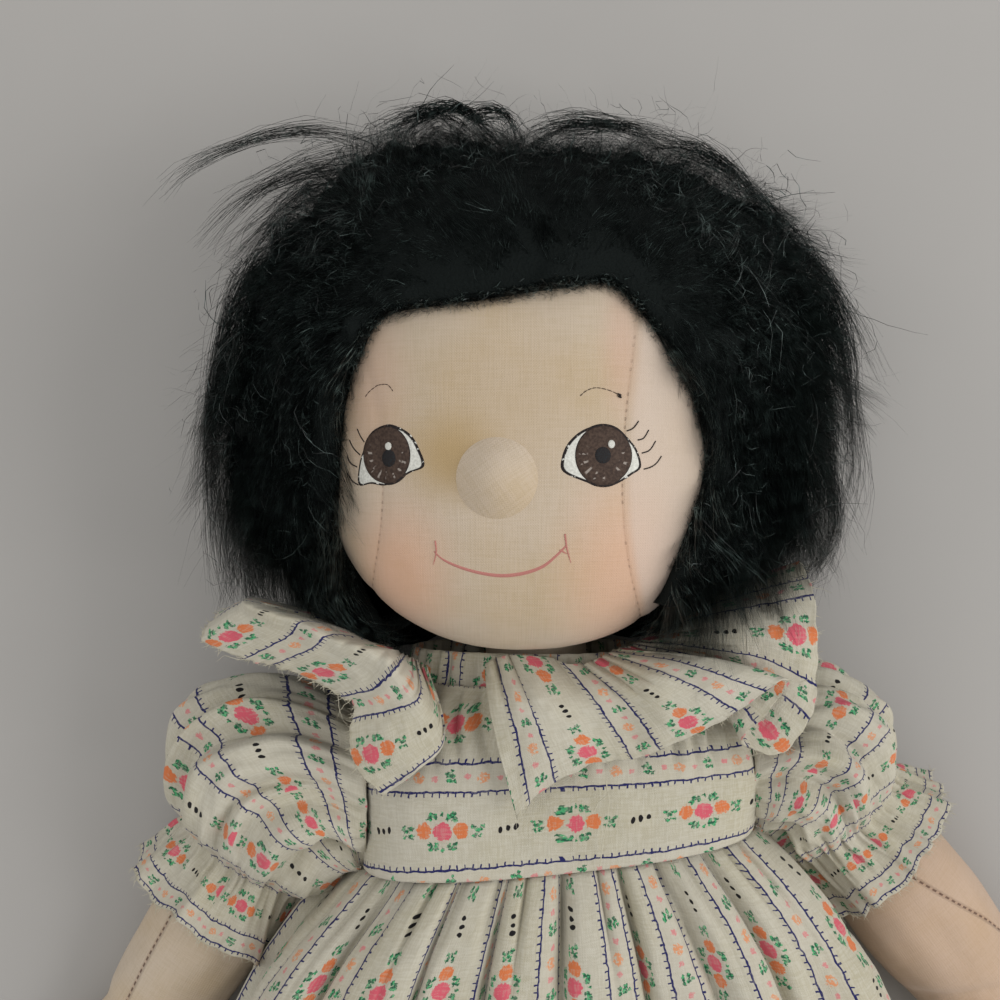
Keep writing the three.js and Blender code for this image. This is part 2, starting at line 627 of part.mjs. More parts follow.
// A raised patch of stitching on the face, inside outline(angle) from its centre
function facePatch(centreX, centreY, outline, base, height, sides = 14, rings = 2) {
  const at = (u, v, lift) => {
    const [x, y] = outline(2 * Math.PI * u);
    return facePoint(centreX + x * v, centreY + y * v, lift);
  };
  const layers = [];
  const ring = (v, lift) => Array.from({ length: sides }, (_, s) => at(-s / sides, v, lift));
  for (let r = 1; r <= rings; r++) layers.push(ring(r / rings, base));
  for (let r = rings; r >= 1; r--) layers.push(ring(r / rings, base + height));
  return ringsGeometry(at(0, 0, base), layers, at(0, 0, base + height));
}
const almond = (halfWidth, halfHeight) => (angle) => [
  halfWidth * signedPower(Math.cos(angle), 1.15),
  halfHeight * signedPower(Math.sin(angle), 1.05),
];
function noseGeometry() {
  const profile = [];
  const steps = 4;
  for (let i = 0; i < steps; i++) {
    const turn = (HALF * Math.PI * i) / steps;
    profile.push([NOSE.radius * Math.cos(turn) ** 0.8, NOSE.height * Math.sin(turn)]);
  }
  const sides = 14;
  const ring = (radius, lift) =>
    Array.from({ length: sides }, (_, s) => {
      const angle = (-2 * Math.PI * s) / sides;
      return facePoint(NOSE.x + radius * Math.cos(angle), NOSE.y + radius * Math.sin(angle), lift);
    });
  const layers = [ring(NOSE.radius * HALF, STITCH_BASE), ring(NOSE.radius, STITCH_BASE)];
  for (const [radius, lift] of profile) {
    layers.push(ring(radius, STITCH_BASE + lift * NOSE.roundShare + NOSE.seat));
  }
  const tip = facePoint(NOSE.x, NOSE.y, NOSE.height + NOSE.seat);
  return ringsGeometry(facePoint(NOSE.x, NOSE.y, STITCH_BASE), layers, tip);
}
function mouthGeometry() {
  const steps = 8;
  const points = Array.from({ length: steps + 1 }, (_, i) => {
    const across = (2 * i) / steps - 1;
    const dip = MOUTH.sag * (1 - across * across);
    return new THREE.Vector3(...facePoint(across * MOUTH.halfWidth, MOUTH.y - dip, STITCH_BASE + MOUTH.radius));
  });
  const section = new THREE.Shape().absarc(0, 0, MOUTH.radius, 0, 2 * Math.PI);
  const extrudePath = new THREE.CatmullRomCurve3(points);
  return new THREE.ExtrudeGeometry(section, { steps: 12, curveSegments: 3, bevelEnabled: false, extrudePath });
}

// Materials
const cloth = (colour, roughness = 0.9) =>
  new THREE.MeshStandardMaterial({ color: colour, roughness, metalness: 0 });
const SKIN = cloth(0xd9bfa0);
const FILLING = cloth(0xf3f1ea, 1);
const PRINT = cloth(0xe4dfce);
const HAIR = cloth(0x0b0d0f, 0.75);
const IRIS = cloth(0x3d2a22);
const WHITE = cloth(0xe2e2dc);
const PINK = cloth(0xc98a84);
const ELASTIC_WHITE = cloth(0xecebe4);
const TAPE_WHITE = cloth(0xe9e7dd);
const DRAWERS_WHITE = cloth(0xebe8df);

const doll = new THREE.Group();
function add(name, geometry, material, parent = doll) {
  const mesh = new THREE.Mesh(geometry, material);
  mesh.name = name;
  parent.add(mesh);
  return mesh;
}
function addStuffed(name, makeSolid, opening, parent = doll) {
  const { skin, filling } = stuffed(makeSolid, opening);
  add(`${name}_skin`, skin, SKIN, parent);
  add(`${name}_filling`, filling, FILLING, parent);
}
const OPENING_RADIUS = 6;

// Body
const torsoOpening = cylinderAlongY(OPENING_RADIUS, CUT_OVERRUN, 0, TORSO.top + CUT_OVERRUN * 0.7, TORSO_MID);
addStuffed("torso", torsoSolid, torsoOpening);
const shaftLength = NECK.pivotAboveTorso - SEAT_GAP;
const neckShaft = cylinderAlongY(NECK.radius, shaftLength, NECK.x, NECK_PIVOT_Y, NECK.height, 16);
add("neck_stem", geometryFrom(neckShaft.add(ball(NECK.radius, NECK.x, NECK_PIVOT_Y, NECK.height))), SKIN);
const headOpeningTop = NECK_PIVOT_Y + NECK.radius + CUT_OVERRUN * 0.6;
addStuffed("head", headSolid, cylinderAlongY(OPENING_RADIUS, CUT_OVERRUN, NECK.x, headOpeningTop, NECK.height));

// Face and wig
add("nose", noseGeometry(), SKIN);
for (const [name, side] of [["left", 1], ["right", -1]]) {
  const x = side * EYE.spacing * HALF;
  const white = almond(EYE.whiteHalfWidth, EYE.whiteHalfHeight);
  const iris = almond(EYE.irisRadius, EYE.irisRadius);
  const irisBase = STITCH_BASE + EYE.threadHeight + SEAT_GAP + FACET_ROOM;
  add(`${name}_eye_white`, facePatch(x, EYE.y, white, STITCH_BASE, EYE.threadHeight), WHITE);
  add(`${name}_iris`, facePatch(x, EYE.y, iris, irisBase, EYE.threadHeight), IRIS);
}
add("mouth_stitch", mouthGeometry(), PINK);
add("wig", geometryFrom(wigSolid()), HAIR);

// Arms with their sleeves
for (const [name, side] of [["left", 1], ["right", -1]]) {
  const arm = new THREE.Group();
  arm.position.set(side * ARM.pivotX, ARM.pivotY, ARM_Z);
  const tilt = radians(90 - ARM_ANGLES[name]);
  arm.rotation.z = side * tilt;
  doll.add(arm);
  const opening = cylinderAlongY(OPENING_RADIUS, CUT_OVERRUN, 0, ARM.radius + CUT_OVERRUN * HALF, 0);
  addStuffed(`${name}_arm`, (inset) => armSolid(inset, -side), opening, arm);
  const sleeveFaces = [sleevePoint(0, side, tilt), sleevePoint(DRESS_CLOTH, side, tilt)];
  add(`${name}_sleeve`, sheetGeometry(...sleeveFaces, 24, SLEEVE_ROWS.all, true), PRINT, arm);
  const elastic = sheetGeometry(elasticPoint(0), elasticPoint(ELASTIC.thickness), LIMB_DETAIL.sides, 1, true);
  add(`${name}_cuff_elastic`, elastic, ELASTIC_WHITE, arm);
}

// Legs, the gusset between them and the drawers
for (const [name, side] of [["left", 1], ["right", -1]]) {
  const leg = new THREE.Group();
  leg.position.set(side * LEG.pivotX, HIP_Y, HIP_Z);
  leg.rotation.z = side * radians(LEG.splay);
  doll.add(leg);
  const opening = cylinderAlongY(OPENING_RADIUS, CUT_OVERRUN, 0, LEG.radius + CUT_OVERRUN * HALF, 0);
  addStuffed(`${name}_leg`, legSolid, opening, leg);
}
const gussetRadius = LEG.radius - SEAT_GAP;
const gussetWidth = 2 * (LEG.pivotX - LEG.radius) - 2 * SEAT_GAP;
const gussetGeometry = new THREE.CylinderGeometry(gussetRadius, gussetRadius, gussetWidth, 20);
gussetGeometry.rotateZ(HALF * Math.PI);
gussetGeometry.translate(0, HIP_Y, HIP_Z);
add("seat_gusset", gussetGeometry, SKIN);
add("drawers", sheetGeometry(drawersPoint(0), drawersPoint(DRESS_CLOTH), 20, 4, true), DRAWERS_WHITE);

// Dress
add("bodice_front", sheetGeometry(frontPanel(0), frontPanel(DRESS_CLOTH), 10, 7, false), PRINT);
const loopLift = LAP_LAYERS - DRESS_CLOTH - SEAT_GAP;
const rightBack = [backPanel(DRESS_CLOTH, -1, 0), backPanel(0, -1, 0)];
const leftBack = [backPanel(0, 1, loopLift), backPanel(DRESS_CLOTH, 1, loopLift)];
add("bodice_back_right", sheetGeometry(...rightBack, 8, 7, false), PRINT);
add("bodice_back_left", sheetGeometry(...leftBack, 8, 7, false), PRINT);
add("hook_tape", tapeGeometry(DRESS_CLOTH + SEAT_GAP), TAPE_WHITE);
add("loop_tape", tapeGeometry(DRESS_CLOTH + 2 * SEAT_GAP + TAPE.thickness), TAPE_WHITE);
add("neck_band", sheetGeometry(neckBandPoint(0), neckBandPoint(NECK_BAND.thickness), 20, 1, true), PRINT);
for (const [name, side] of [["left", 1], ["right", -1]]) {
  const over = frillPoint(side);
  const under = behind(over, side * DRESS_CLOTH);
  const frill = side > 0 ? sheetGeometry(under, over, 20, 3, false) : sheetGeometry(over, under, 20, 3, false);
  add(`collar_frill_${name}`, frill, PRINT);
}
add("skirt", sheetGeometry(skirtPoint(0), skirtPoint(DRESS_CLOTH), 60, 6, true), PRINT);

export default doll;
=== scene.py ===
"""A stuffed rag doll with a fur wig and a gathered dress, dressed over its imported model."""

import bisect
import math
import random

import bmesh
import bpy
from mathutils import Matrix, Vector, noise, kdtree


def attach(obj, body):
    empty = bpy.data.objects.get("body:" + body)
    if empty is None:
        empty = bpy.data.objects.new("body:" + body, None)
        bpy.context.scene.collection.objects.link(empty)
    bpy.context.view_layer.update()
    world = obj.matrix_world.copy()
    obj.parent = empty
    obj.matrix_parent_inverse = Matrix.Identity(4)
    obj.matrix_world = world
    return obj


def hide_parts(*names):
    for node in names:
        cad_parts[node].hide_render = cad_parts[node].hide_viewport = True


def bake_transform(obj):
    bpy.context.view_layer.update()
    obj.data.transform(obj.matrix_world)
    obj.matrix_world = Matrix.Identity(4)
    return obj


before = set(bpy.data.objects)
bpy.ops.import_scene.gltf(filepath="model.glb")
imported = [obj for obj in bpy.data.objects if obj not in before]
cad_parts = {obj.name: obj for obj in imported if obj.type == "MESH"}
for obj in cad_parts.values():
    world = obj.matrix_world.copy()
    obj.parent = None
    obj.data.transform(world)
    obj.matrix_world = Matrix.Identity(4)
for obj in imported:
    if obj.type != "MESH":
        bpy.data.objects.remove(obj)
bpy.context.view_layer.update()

bl_info = {
    "name": "Rag doll in a printed dress",
    "version": (1, 0, 0),
    "blender": (4, 5, 0),
    "location": "View3D > Sidebar > Doll",
    "description": "Dresses the packed model of a rag doll in cloth, fur and stitching",
    "category": "Object",
}

MM = 0.001


# Numbers and curves


def linear(red, green, blue):
    """The linear values of a colour written as sRGB from 0 to 255."""

    def channel(value):
        share = value / 255
        return share / 12.92 if share <= 0.04045 else ((share + 0.055) / 1.055) ** 2.4

    return tuple(channel(value) for value in (red, green, blue))


def mix(a, b, share):
    return a + (b - a) * share


def smooth(share):
    share = min(1.0, max(0.0, share))
    return share * share * (3 - 2 * share)


def signed_power(value, power):
    return math.copysign(abs(value) ** power, value)


def through(points, share, closed=False):
    """The point at a share of a smooth curve through numbers or vectors."""
    count = len(points)
    last = count if closed else count - 1
    place = (share % 1.0 if closed else min(max(share, 0.0), 1.0)) * last
    start = min(int(place), last - 1)
    t = place - start

    def at(k):
        k += start
        return points[k % count] if closed else points[min(max(k, 0), count - 1)]

    a, b, c, d = at(-1), at(0), at(1), at(2)
    bend, twist = a * 2 - b * 5 + c * 4 - d, b * 3 - a - c * 3 + d
    return (b * 2 + (c - a) * t + bend * t * t + twist * t ** 3) * 0.5


def profile(table, share):
    """A smooth value at a share, from a table of shares and values."""
    i = 0
    while i < len(table) - 2 and share > table[i + 1][0]:
        i += 1

    def slope(a, b):
        return (table[b][1] - table[a][1]) / (table[b][0] - table[a][0])

    span = table[i + 1][0] - table[i][0]
    t = min(1.0, max(0.0, (share - table[i][0]) / span))
    before = slope(max(0, i - 1), i + 1) * span
    after = slope(i, min(len(table) - 1, i + 2)) * span
    low, high = table[i][1], table[i + 1][1]
    square, cube = t ** 2, t ** 3
    return (
        (2 * cube - 3 * square + 1) * low
        + (cube - 2 * square + t) * before
        + (3 * square - 2 * cube) * high
        + (cube - square) * after
    )


class Measured:
    """A curve with its length in millimetres, measured along it."""

    def __init__(self, curve, samples=300):
        self.lengths, before = [0.0], curve(0.0)
        for k in range(1, samples + 1):
            at = curve(k / samples)
            self.lengths.append(self.lengths[-1] + (at - before).length)
            before = at
        self.whole = self.lengths[-1]

    def share_at(self, part):
        """The curve's own share where a part of its length is reached."""
        goal = min(max(part, 0.0), 1.0) * self.whole
        k = min(max(bisect.bisect_left(self.lengths, goal), 1), len(self.lengths) - 1)
        step = self.lengths[k] - self.lengths[k - 1]
        return (k - 1 + (goal - self.lengths[k - 1]) / step) / (len(self.lengths) - 1)

    def length_at(self, share):
        place = min(max(share, 0.0), 1.0) * (len(self.lengths) - 1)
        k = min(int(place), len(self.lengths) - 2)
        return mix(self.lengths[k], self.lengths[k + 1], place - k)


def ripple(x, y, z=0.0, scale=1.0):
    """Smooth unevenness between about -1 and 1."""
    return noise.noise(Vector((x, y, z)) * scale)


def pleat(turns):
    """Round ridges with sharp valleys between them, one a turn, from -0.6 to 0.4."""
    return abs(math.sin(math.pi * turns)) - 0.6


def crease(turns):
    """Broad ridges with narrow valleys between them, one a turn, from -1 to 0."""
    return -((1 - abs(math.sin(math.pi * turns))) ** 3)


# Meshes


def surface(columns, rows, place, cloth=None, joined=False):
    """A sheet of cloth, with place(u, v) in millimetres and cloth(u, v) its place on the flat cloth."""
    mesh = bmesh.new()
    flat = mesh.loops.layers.uv.new("cloth")
    bmesh.ops.create_grid(mesh, x_segments=columns, y_segments=rows, size=1)
    mesh.verts.index_update()
    shares = [((vert.co.x + 1) / 2, (vert.co.y + 1) / 2) for vert in mesh.verts]
    places = [cloth(u, v) if cloth else (u, v) for u, v in shares]
    for face in mesh.faces:
        for loop in face.loops:
            loop[flat].uv = places[loop.vert.index]
    for vert, (u, v) in zip(mesh.verts, shares):
        vert.co = Vector(place(u, v)) * MM
    if joined:
        bmesh.ops.remove_doubles(mesh, verts=mesh.verts, dist=1e-6)
        bmesh.ops.recalc_face_normals(mesh, faces=mesh.faces)
    return mesh


def join(*meshes):
    """One bmesh from several."""
    whole = bmesh.new()
    for mesh in meshes:
        data = bpy.data.meshes.new("part")
        mesh.to_mesh(data)
        mesh.free()
        whole.from_mesh(data)
        bpy.data.meshes.remove(data)
    return whole


def piece(name, mesh, material, body=None, replaces=(), wall=0.0):
    """An object from a bmesh, with its wall in millimetres and the body that carries it."""
    for face in mesh.faces:
        face.smooth = True
    data = bpy.data.meshes.new(name)
    mesh.to_mesh(data)
    mesh.free()
    return made_object(name, data, material, body, replaces, wall)


def made_object(name, data, material, body, replaces=(), wall=0.0):
    data.materials.append(material)
    made = bpy.data.objects.new(name, data)
    bpy.context.scene.collection.objects.link(made)
    if wall:
        modifier = made.modifiers.new("Wall", "SOLIDIFY")
        modifier.thickness = wall * MM
        modifier.offset = -1
    if replaces:
        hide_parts(*replaces)
    if body:
        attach(made, body)
    return made


def threads(name, lines, radius, material, body, flat=False, tapers=True):
    """Threads or hairs through lists of points in millimetres, as round cords or flat ribbons."""
    data = bpy.data.curves.new(name, "CURVE")
    data.dimensions = "3D"
    if flat:
        data.extrude = radius * MM
    else:
        data.bevel_depth = radius * MM
        data.bevel_resolution = 1
    data.use_fill_caps = not flat
    for line in lines:
        last = len(line) - 1
        points = data.splines.new("POLY").points
        points.add(last)
        points.foreach_set("co", [value for at in line for value in (at[0] * MM, at[1] * MM, at[2] * MM, 1.0)])
        if tapers:
            points.foreach_set("radius", [1 - 0.75 * (k / last) ** 2 for k in range(last + 1)])
    return made_object(name, data, material, body)


# Materials


class Value:
    """A number that varies over a surface. Arithmetic on it adds Math nodes."""

    def __init__(self, shader, socket):
        self.shader = shader
        self.socket = socket

    def math(self, operation, *others):
        made = self.shader.node("ShaderNodeMath", {"operation": operation}, [self, *others])
        return Value(self.shader, made.outputs[0])

    def __add__(self, other):
        return self.math("ADD", other)

    def __sub__(self, other):
        return self.math("SUBTRACT", other)

    def __mul__(self, other):
        return self.math("MULTIPLY", other)

    def __truediv__(self, other):
        return self.math("DIVIDE", other)

    def __rsub__(self, other):
        return self.math("MULTIPLY_ADD", -1.0, other)

    __radd__ = __add__
    __rmul__ = __mul__

    def __abs__(self):
        return self.math("ABSOLUTE")

    def fract(self):
        return self.math("FRACT")

    def larger(self, other):
        return self.math("MAXIMUM", other)

    def sine(self):
        return self.math("SINE")

    def between(self, low, high):
        """0 at low and 1 at high, smooth between them and flat past them."""
        limits = {"Value": self, "From Min": low, "From Max": high}
        made = self.shader.node("ShaderNodeMapRange", {"interpolation_type": "SMOOTHSTEP"}, limits)
        return Value(self.shader, made.outputs["Result"])


class Shader:
    """A material that is built from nodes, with the colour that is painted on it so far."""

    def __init__(self, name, roughness=0.9, specular=0.3, sheen=0.0):
        self.material = bpy.data.materials.new(name)
        self.material.use_nodes = True
        self.tree = self.material.node_tree
        self.tree.nodes.clear()
        output = self.node("ShaderNodeOutputMaterial")
        self.bsdf = self.node(
            "ShaderNodeBsdfPrincipled",
            inputs={"Roughness": roughness, "Specular IOR Level": specular, "Sheen Weight": sheen},
        )
        self.tree.links.new(self.bsdf.outputs[0], output.inputs["Surface"])
        self.colour = None

    def node(self, kind, settings=None, inputs=()):
        """Any node, with its settings, then the values or links of its sockets."""
        made = self.tree.nodes.new(kind)
        for key, value in (settings or {}).items():
            setattr(made, key, value)
        for key, value in inputs.items() if isinstance(inputs, dict) else enumerate(inputs):
            if isinstance(value, Value):
                self.tree.links.new(value.socket, made.inputs[key])
            elif isinstance(value, bpy.types.NodeSocket):
                self.tree.links.new(value, made.inputs[key])
            else:
                made.inputs[key].default_value = value
        return made

    def vector(self, operation, first, second=(0, 0, 0)):
        return self.node("ShaderNodeVectorMath", {"operation": operation}, [first, second]).outputs[0]

    def length(self, vector):
        made = self.node("ShaderNodeVectorMath", {"operation": "LENGTH"}, [vector])
        return Value(self, made.outputs["Value"])

    def place(self):
        """Where a point is on the piece, in millimetres."""
        return self.vector("MULTIPLY", self.node("ShaderNodeTexCoord").outputs["Object"], (1 / MM,) * 3)

    def flat(self):
        """Where a point is on the flat cloth, in millimetres."""
        return self.node("ShaderNodeUVMap", {"uv_map": "cloth"}).outputs["UV"]

    def split(self, vector):
        made = self.node("ShaderNodeSeparateXYZ", inputs=[vector])
        return [Value(self, socket) for socket in made.outputs]

    def combine(self, x, y, z=0.0):
        return self.node("ShaderNodeCombineXYZ", inputs=[x, y, z]).outputs[0]

    def noise(self, vector, scale, detail=2.0):
        made = self.node("ShaderNodeTexNoise", inputs={"Vector": vector, "Scale": scale, "Detail": detail})
        return Value(self, made.outputs["Fac"])

    def spot(self, vector, centre, size, edge=0.12):
        """1 inside an ellipse and 0 outside it."""
        centre, size = (list(centre) + [0.0] * 3)[:3], (list(size) + [1.0] * 3)[:3]
        away = self.vector("DIVIDE", self.vector("SUBTRACT", vector, centre), size)
        return self.length(away).between(1 + edge, 1 - edge)

    def spots(self, vector, ellipses, edge=0.16):
        """1 inside any of some ellipses, each by its middle and its half sizes."""
        found = self.spot(vector, *ellipses[0], edge)
        for ellipse in ellipses[1:]:
            found = found.larger(self.spot(vector, *ellipse, edge))
        return found

    def blended(self, share, under, over):
        """Lay the colour over on the colour under by a share. A name stands for a colour of the settings."""
        under, over = [(*getattr(colours(), c), 1.0) if isinstance(c, str) else c for c in (under, over)]
        return self.node("ShaderNodeMix", {"data_type": "RGBA"}, {0: share, 6: under, 7: over}).outputs[2]

    def paint(self, share, over, under=None):
        """Lay a colour by a share on what is painted so far, or on another colour."""
        self.colour = self.blended(share, under or self.colour, over)

    def finish(self, height=None, depth=0.2):
        """Link the paint, raise the surface by height times depth in millimetres, and give back the material."""
        self.tree.links.new(self.colour, self.bsdf.inputs["Base Color"])
        if height is not None:
            bump = self.node("ShaderNodeBump", inputs={"Strength": 1.0, "Distance": depth * MM, "Height": height})
            self.tree.links.new(bump.outputs[0], self.bsdf.inputs["Normal"])
        return self.material


def weave(along, across, pitch):
    """Height of plain woven threads, from 0 to 1."""
    warp = (along * (2 * math.pi / pitch)).sine()
    weft = (across * (2 * math.pi / pitch)).sine()
    return (warp * weft) * 0.3 + (warp + weft) * 0.1 + 0.5


THREADS_A_MM = 1.9


def streaks(shader, along, across, stretch=10.0):
    """Thick and thin threads that run along and across the cloth, about 0.5."""
    slow = THREADS_A_MM / stretch
    first = shader.noise(shader.combine(along * slow, across * THREADS_A_MM), 1.0, 1.0)
    second = shader.noise(shader.combine(along * THREADS_A_MM + 31.0, across * slow), 1.0, 1.0)
    return (first + second) * 0.5


def repeated(value, length, shift=0.0):
    """The place in a repeat of a length, from the middle of it."""
    return (value / length + shift).fract() * length - length / 2


# The print in millimetres: its repeats, the band between two ticked lines, and its leaves and dots, each an ellipse by
# its middle and its half sizes
ROSES_APART, STRIPES_APART, SPRIGS_APART = 34.0, 26.5, 17.0
HALF_BAND = 3.6
TICK_LENGTH, TICKS_APART, OVALS_APART = 1.3, 2.1, 2.1
ROSE_LEAVES = (((1.7, 3.7), (0.6, 0.95)), ((2.9, 4.1), (0.75, 0.7)), ((3.4, 3.0), (0.8, 0.5)), ((0.0, 4.4), (0.45, 0.5)))
BUD_LEAVES = (
    ((8.3, 0.9), (0.8, 0.55)), ((9.6, 0.1), (0.9, 0.55)), ((8.4, -1.0), (0.8, 0.5)),
    ((10.4, 1.1), (0.7, 0.5)), ((10.0, -1.2), (0.6, 0.5)),
)
SPRIG_LEAVES = (
    ((1.2, 0.9), (0.75, 0.6)), ((2.6, 0.7), (0.8, 0.55)), ((1.8, -0.6), (0.85, 0.55)),
    ((3.1, -0.7), (0.7, 0.6)), ((2.4, 1.8), (0.5, 0.45)),
)
BAND_DOTS = (((6.6, 0.3), (0.8, 0.75)), ((14.9, -0.2), (0.8, 0.75)))


def printed_cotton(name, across_from=0.0):
    """Cream cotton with sprigged stripes: two ticked lines, and roses in the ground between each pair."""
    shader = Shader(name, roughness=0.92, specular=0.2, sheen=0.08)
    flat = shader.flat()

    def strays(scale, reach):
        """How far the ink strays from its drawing."""
        noisy = shader.node("ShaderNodeTexNoise", inputs={"Vector": flat, "Scale": scale, "Detail": 1.0})
        middled = shader.vector("SUBTRACT", noisy.outputs["Color"], (0.5, 0.5, 0.5))
        return shader.vector("MULTIPLY", middled, (reach, reach, 0.0))

    along, across, _ = shader.split(shader.vector("ADD", flat, strays(0.45, 1.0)))
    across = across + across_from
    rose_along = repeated(along, ROSES_APART, 0.5)
    oval_along = repeated(along, ROSES_APART)
    ground = repeated(across, STRIPES_APART)
    band = repeated(across, STRIPES_APART, 0.5)
    band_away = abs(band)
    broken = shader.noise(flat, 1.25, 1.0)
    rough = strays(1.5, 1.5)

    line = abs(band_away - HALF_BAND).between(0.33, 0.2)
    tick = abs((along / TICKS_APART).fract() - 0.5).between(0.125, 0.08)
    tick_end = HALF_BAND + TICK_LENGTH
    tick = tick * band_away.between(HALF_BAND - 0.1, HALF_BAND) * band_away.between(tick_end, tick_end - 0.25)
    navy = line.larger(tick)

    def drawn(x, y):
        return shader.vector("ADD", shader.combine(x, y), rough)

    mirrored = drawn(abs(rose_along), ground)
    rose = shader.spot(drawn(rose_along, ground), (0.0, 0.0), (2.4, 2.35), 0.08)
    buds = shader.spot(mirrored, (4.9, 0.2), (1.95, 1.95), 0.08)
    leaf = shader.spots(drawn(abs(rose_along), abs(ground)), ROSE_LEAVES)
    ends = shader.spots(mirrored, BUD_LEAVES)
    triple = ((oval_along / OVALS_APART + 0.5).fract() - 0.5) * OVALS_APART
    ovals = shader.spot(shader.combine(triple, ground - oval_along * 0.12), (0.0, 0.0), (0.62, 0.86))
    ovals = ovals * abs(oval_along).between(3.2, 3.1)

    motif = drawn((along / SPRIGS_APART).fract() * SPRIGS_APART, band)
    sprig = shader.spots(motif, SPRIG_LEAVES)
    floret = shader.spot(motif, (10.8, 0.0), (1.6, 1.35), 0.1) * broken.between(0.62, 0.5)
    dots = shader.spots(motif, BAND_DOTS, 0.12)

    threads_seen = streaks(shader, along, across)
    shader.paint(shader.noise(flat, 0.03, 2.0).between(0.35, 0.7), "cream_stain", under="cream")
    shader.paint(threads_seen.between(0.36, 0.66) * 0.42, "cream_light")
    shader.paint(band_away.between(HALF_BAND + 0.1, HALF_BAND - 0.1) * 0.35, "band_tint")
    ink = threads_seen.between(0.62, 0.42) * 0.35 + 0.62
    green = shader.blended(broken.between(0.44, 0.52), "green", "green_dark")
    shader.paint(leaf.larger(ends).larger(sprig) * (ink + 0.1), green)
    shader.paint(floret * ink, "floret")
    shader.paint(buds * (ink + 0.12), "orange")
    shader.paint(dots * ink * 0.85, "dot")
    shader.paint(rose * (ink + 0.15), "pink")
    shader.paint(navy * (ink + 0.2), "navy")
    shader.paint(ovals, "black")
    height = weave(along, across, 0.62) + threads_seen * 0.9 + shader.noise(flat, 0.22, 3.0) * 5.0
    return shader.finish(height, 0.075)


# Tinted places of the face cloth: middle and half size in millimetres, colour and strength. The strong stain up and
# left of the nose is also the nose's painted shade.
FACE_TINTS = (
    ((-40, 46), (10, 14), "blush", 0.55),
    ((13, 46), (12, 19), "blush", 0.5),
    ((-46, 90), (7, 15), "blush_pink", 0.35),
    ((12, 98), (4, 13), "blush_pink", 0.4),
    # Stain, darkened further as the painted shade that the nose casts up and to its left
    ((-27, 74), (9, 8), "stain_and_nose_shade", 0.9),
    ((-16, 84), (18, 14), "stain_and_nose_shade", 0.22),
    ((-15, 90), (30, 16), "stain_and_nose_shade", 0.14),
    ((-9, 45), (20, 16), "stain_and_nose_shade", 0.14),
)
SEAM_MIDDLE_Y = 70.0


def panel_seams(x, y):
    """How far right a place on the face is of its two bowed panel seams."""
    down = y - SEAM_MIDDLE_Y
    bowed = down * down
    return x - bowed * (0.0045 - down * 0.00005) - 11.9, x + bowed * 0.0065 + 43.3


def paint_face(shader, place, x, y, z):
    """Blush, stains, painted shade beside the nose, painted light on the right side panel, and stitched panel seams on
    the face. Gives back how deep the seams lie.
    """
    for centre, half, tint, strength in FACE_TINTS:
        shader.paint(shader.spot(shader.combine(x, y), centre, half, 0.85) * strength, tint)
    right, left = panel_seams(x, y)
    # Painted light: the face's right side panel, past the right seam, is made paler
    shader.paint(right.between(0.0, 3.0) * 0.6, "pale_thread_and_lit_side")
    right, left = abs(right), abs(left)
    front, cheek = z.between(62.0, 70.0), y.between(72.0, 66.0)

    def near_seams(right_reach, left_reach):
        return right.between(*right_reach).larger(left.between(*left_reach) * cheek) * front

    groove = near_seams((0.75, 0.0), (0.75, 0.0))
    thread = near_seams((0.22, 0.06), (0.22, 0.06))
    dash = abs((y / 1.9).fract() - 0.5).between(0.26, 0.12)
    holes = near_seams((0.27, 0.1), (0.24, 0.08)) * dash * shader.noise(place, 0.3, 1.0).between(0.4, 0.56)
    plain = y.between(104.0, 80.0) * 0.8 + 0.2
    # The groove along each seam is darkened as painted shade; the thin line within it is the seam's thread
    shader.paint(groove * 0.06, "crease")
    shader.paint(thread * plain * 0.18, "crease")
    shader.paint(holes * plain * 0.3, "needle")
    return (groove + holes) * 1.4


def paint_seam(shader, x, y, start, drift, low):
    """A stitched seam along an arm, with painted shade along its groove. Gives back how deep it lies."""
    away = abs(x - (y - low) * drift - start)
    reach = y.between(low - 6, low)
    # Painted shade along the arm seam's groove
    shader.paint(away.between(0.9, 0.0) * reach * 0.3, "crease")
    stitches = away.between(0.42, 0.2) * abs((y / 2.1).fract() - 0.5).between(0.34, 0.24) * reach
    shader.paint(stitches * 0.75, "needle")
    return away.between(1.1, 0.0) * reach * 6.0


def body_cloth(name, face=False, seam=None, tint=None):
    """Woven skin-coloured cloth. The face has blush and panel seams, and an arm a stitched seam. A tint, such as the
    left arm's pinker cloth with painted shade, covers all of it.
    """
    shader = Shader(name, roughness=0.88, specular=0.22, sheen=0.12)
    place = shader.place() if face else shader.flat()
    x, y, z = shader.split(place)
    threads_seen = streaks(shader, x, y, 14.0)
    shader.paint(shader.noise(place, 0.035, 2.0).between(0.35, 0.7), "skin_warm", under="skin")
    shader.paint(threads_seen.between(0.38, 0.68) * 0.2, "pale_thread_and_lit_side")
    shader.paint(threads_seen.between(0.56, 0.34) * 0.14, "skin_thread")
    # The tint covers the whole cloth; the left arm's is pinker cloth, darkened as painted shade
    if tint:
        shader.paint(0.42, tint)
    height = weave(x, y, 0.6) * 0.75 + threads_seen * 1.2 + shader.noise(place, 0.15, 2.0) * 2.0
    if face:
        height = height - paint_face(shader, place, x, y, z)
    if seam:
        height = height - paint_seam(shader, x, y, *seam)
    return shader.finish(height, 0.09)


def plain_cotton(name, colour, dark):
    shader = Shader(name, roughness=0.92, specular=0.2)
    x, y, _ = shader.split(shader.flat())
    threads_seen = streaks(shader, x, y)
    shader.paint(threads_seen.between(0.36, 0.64), colour, under=dark)
    return shader.finish(weave(x, y, 0.6) + threads_seen, 0.06)


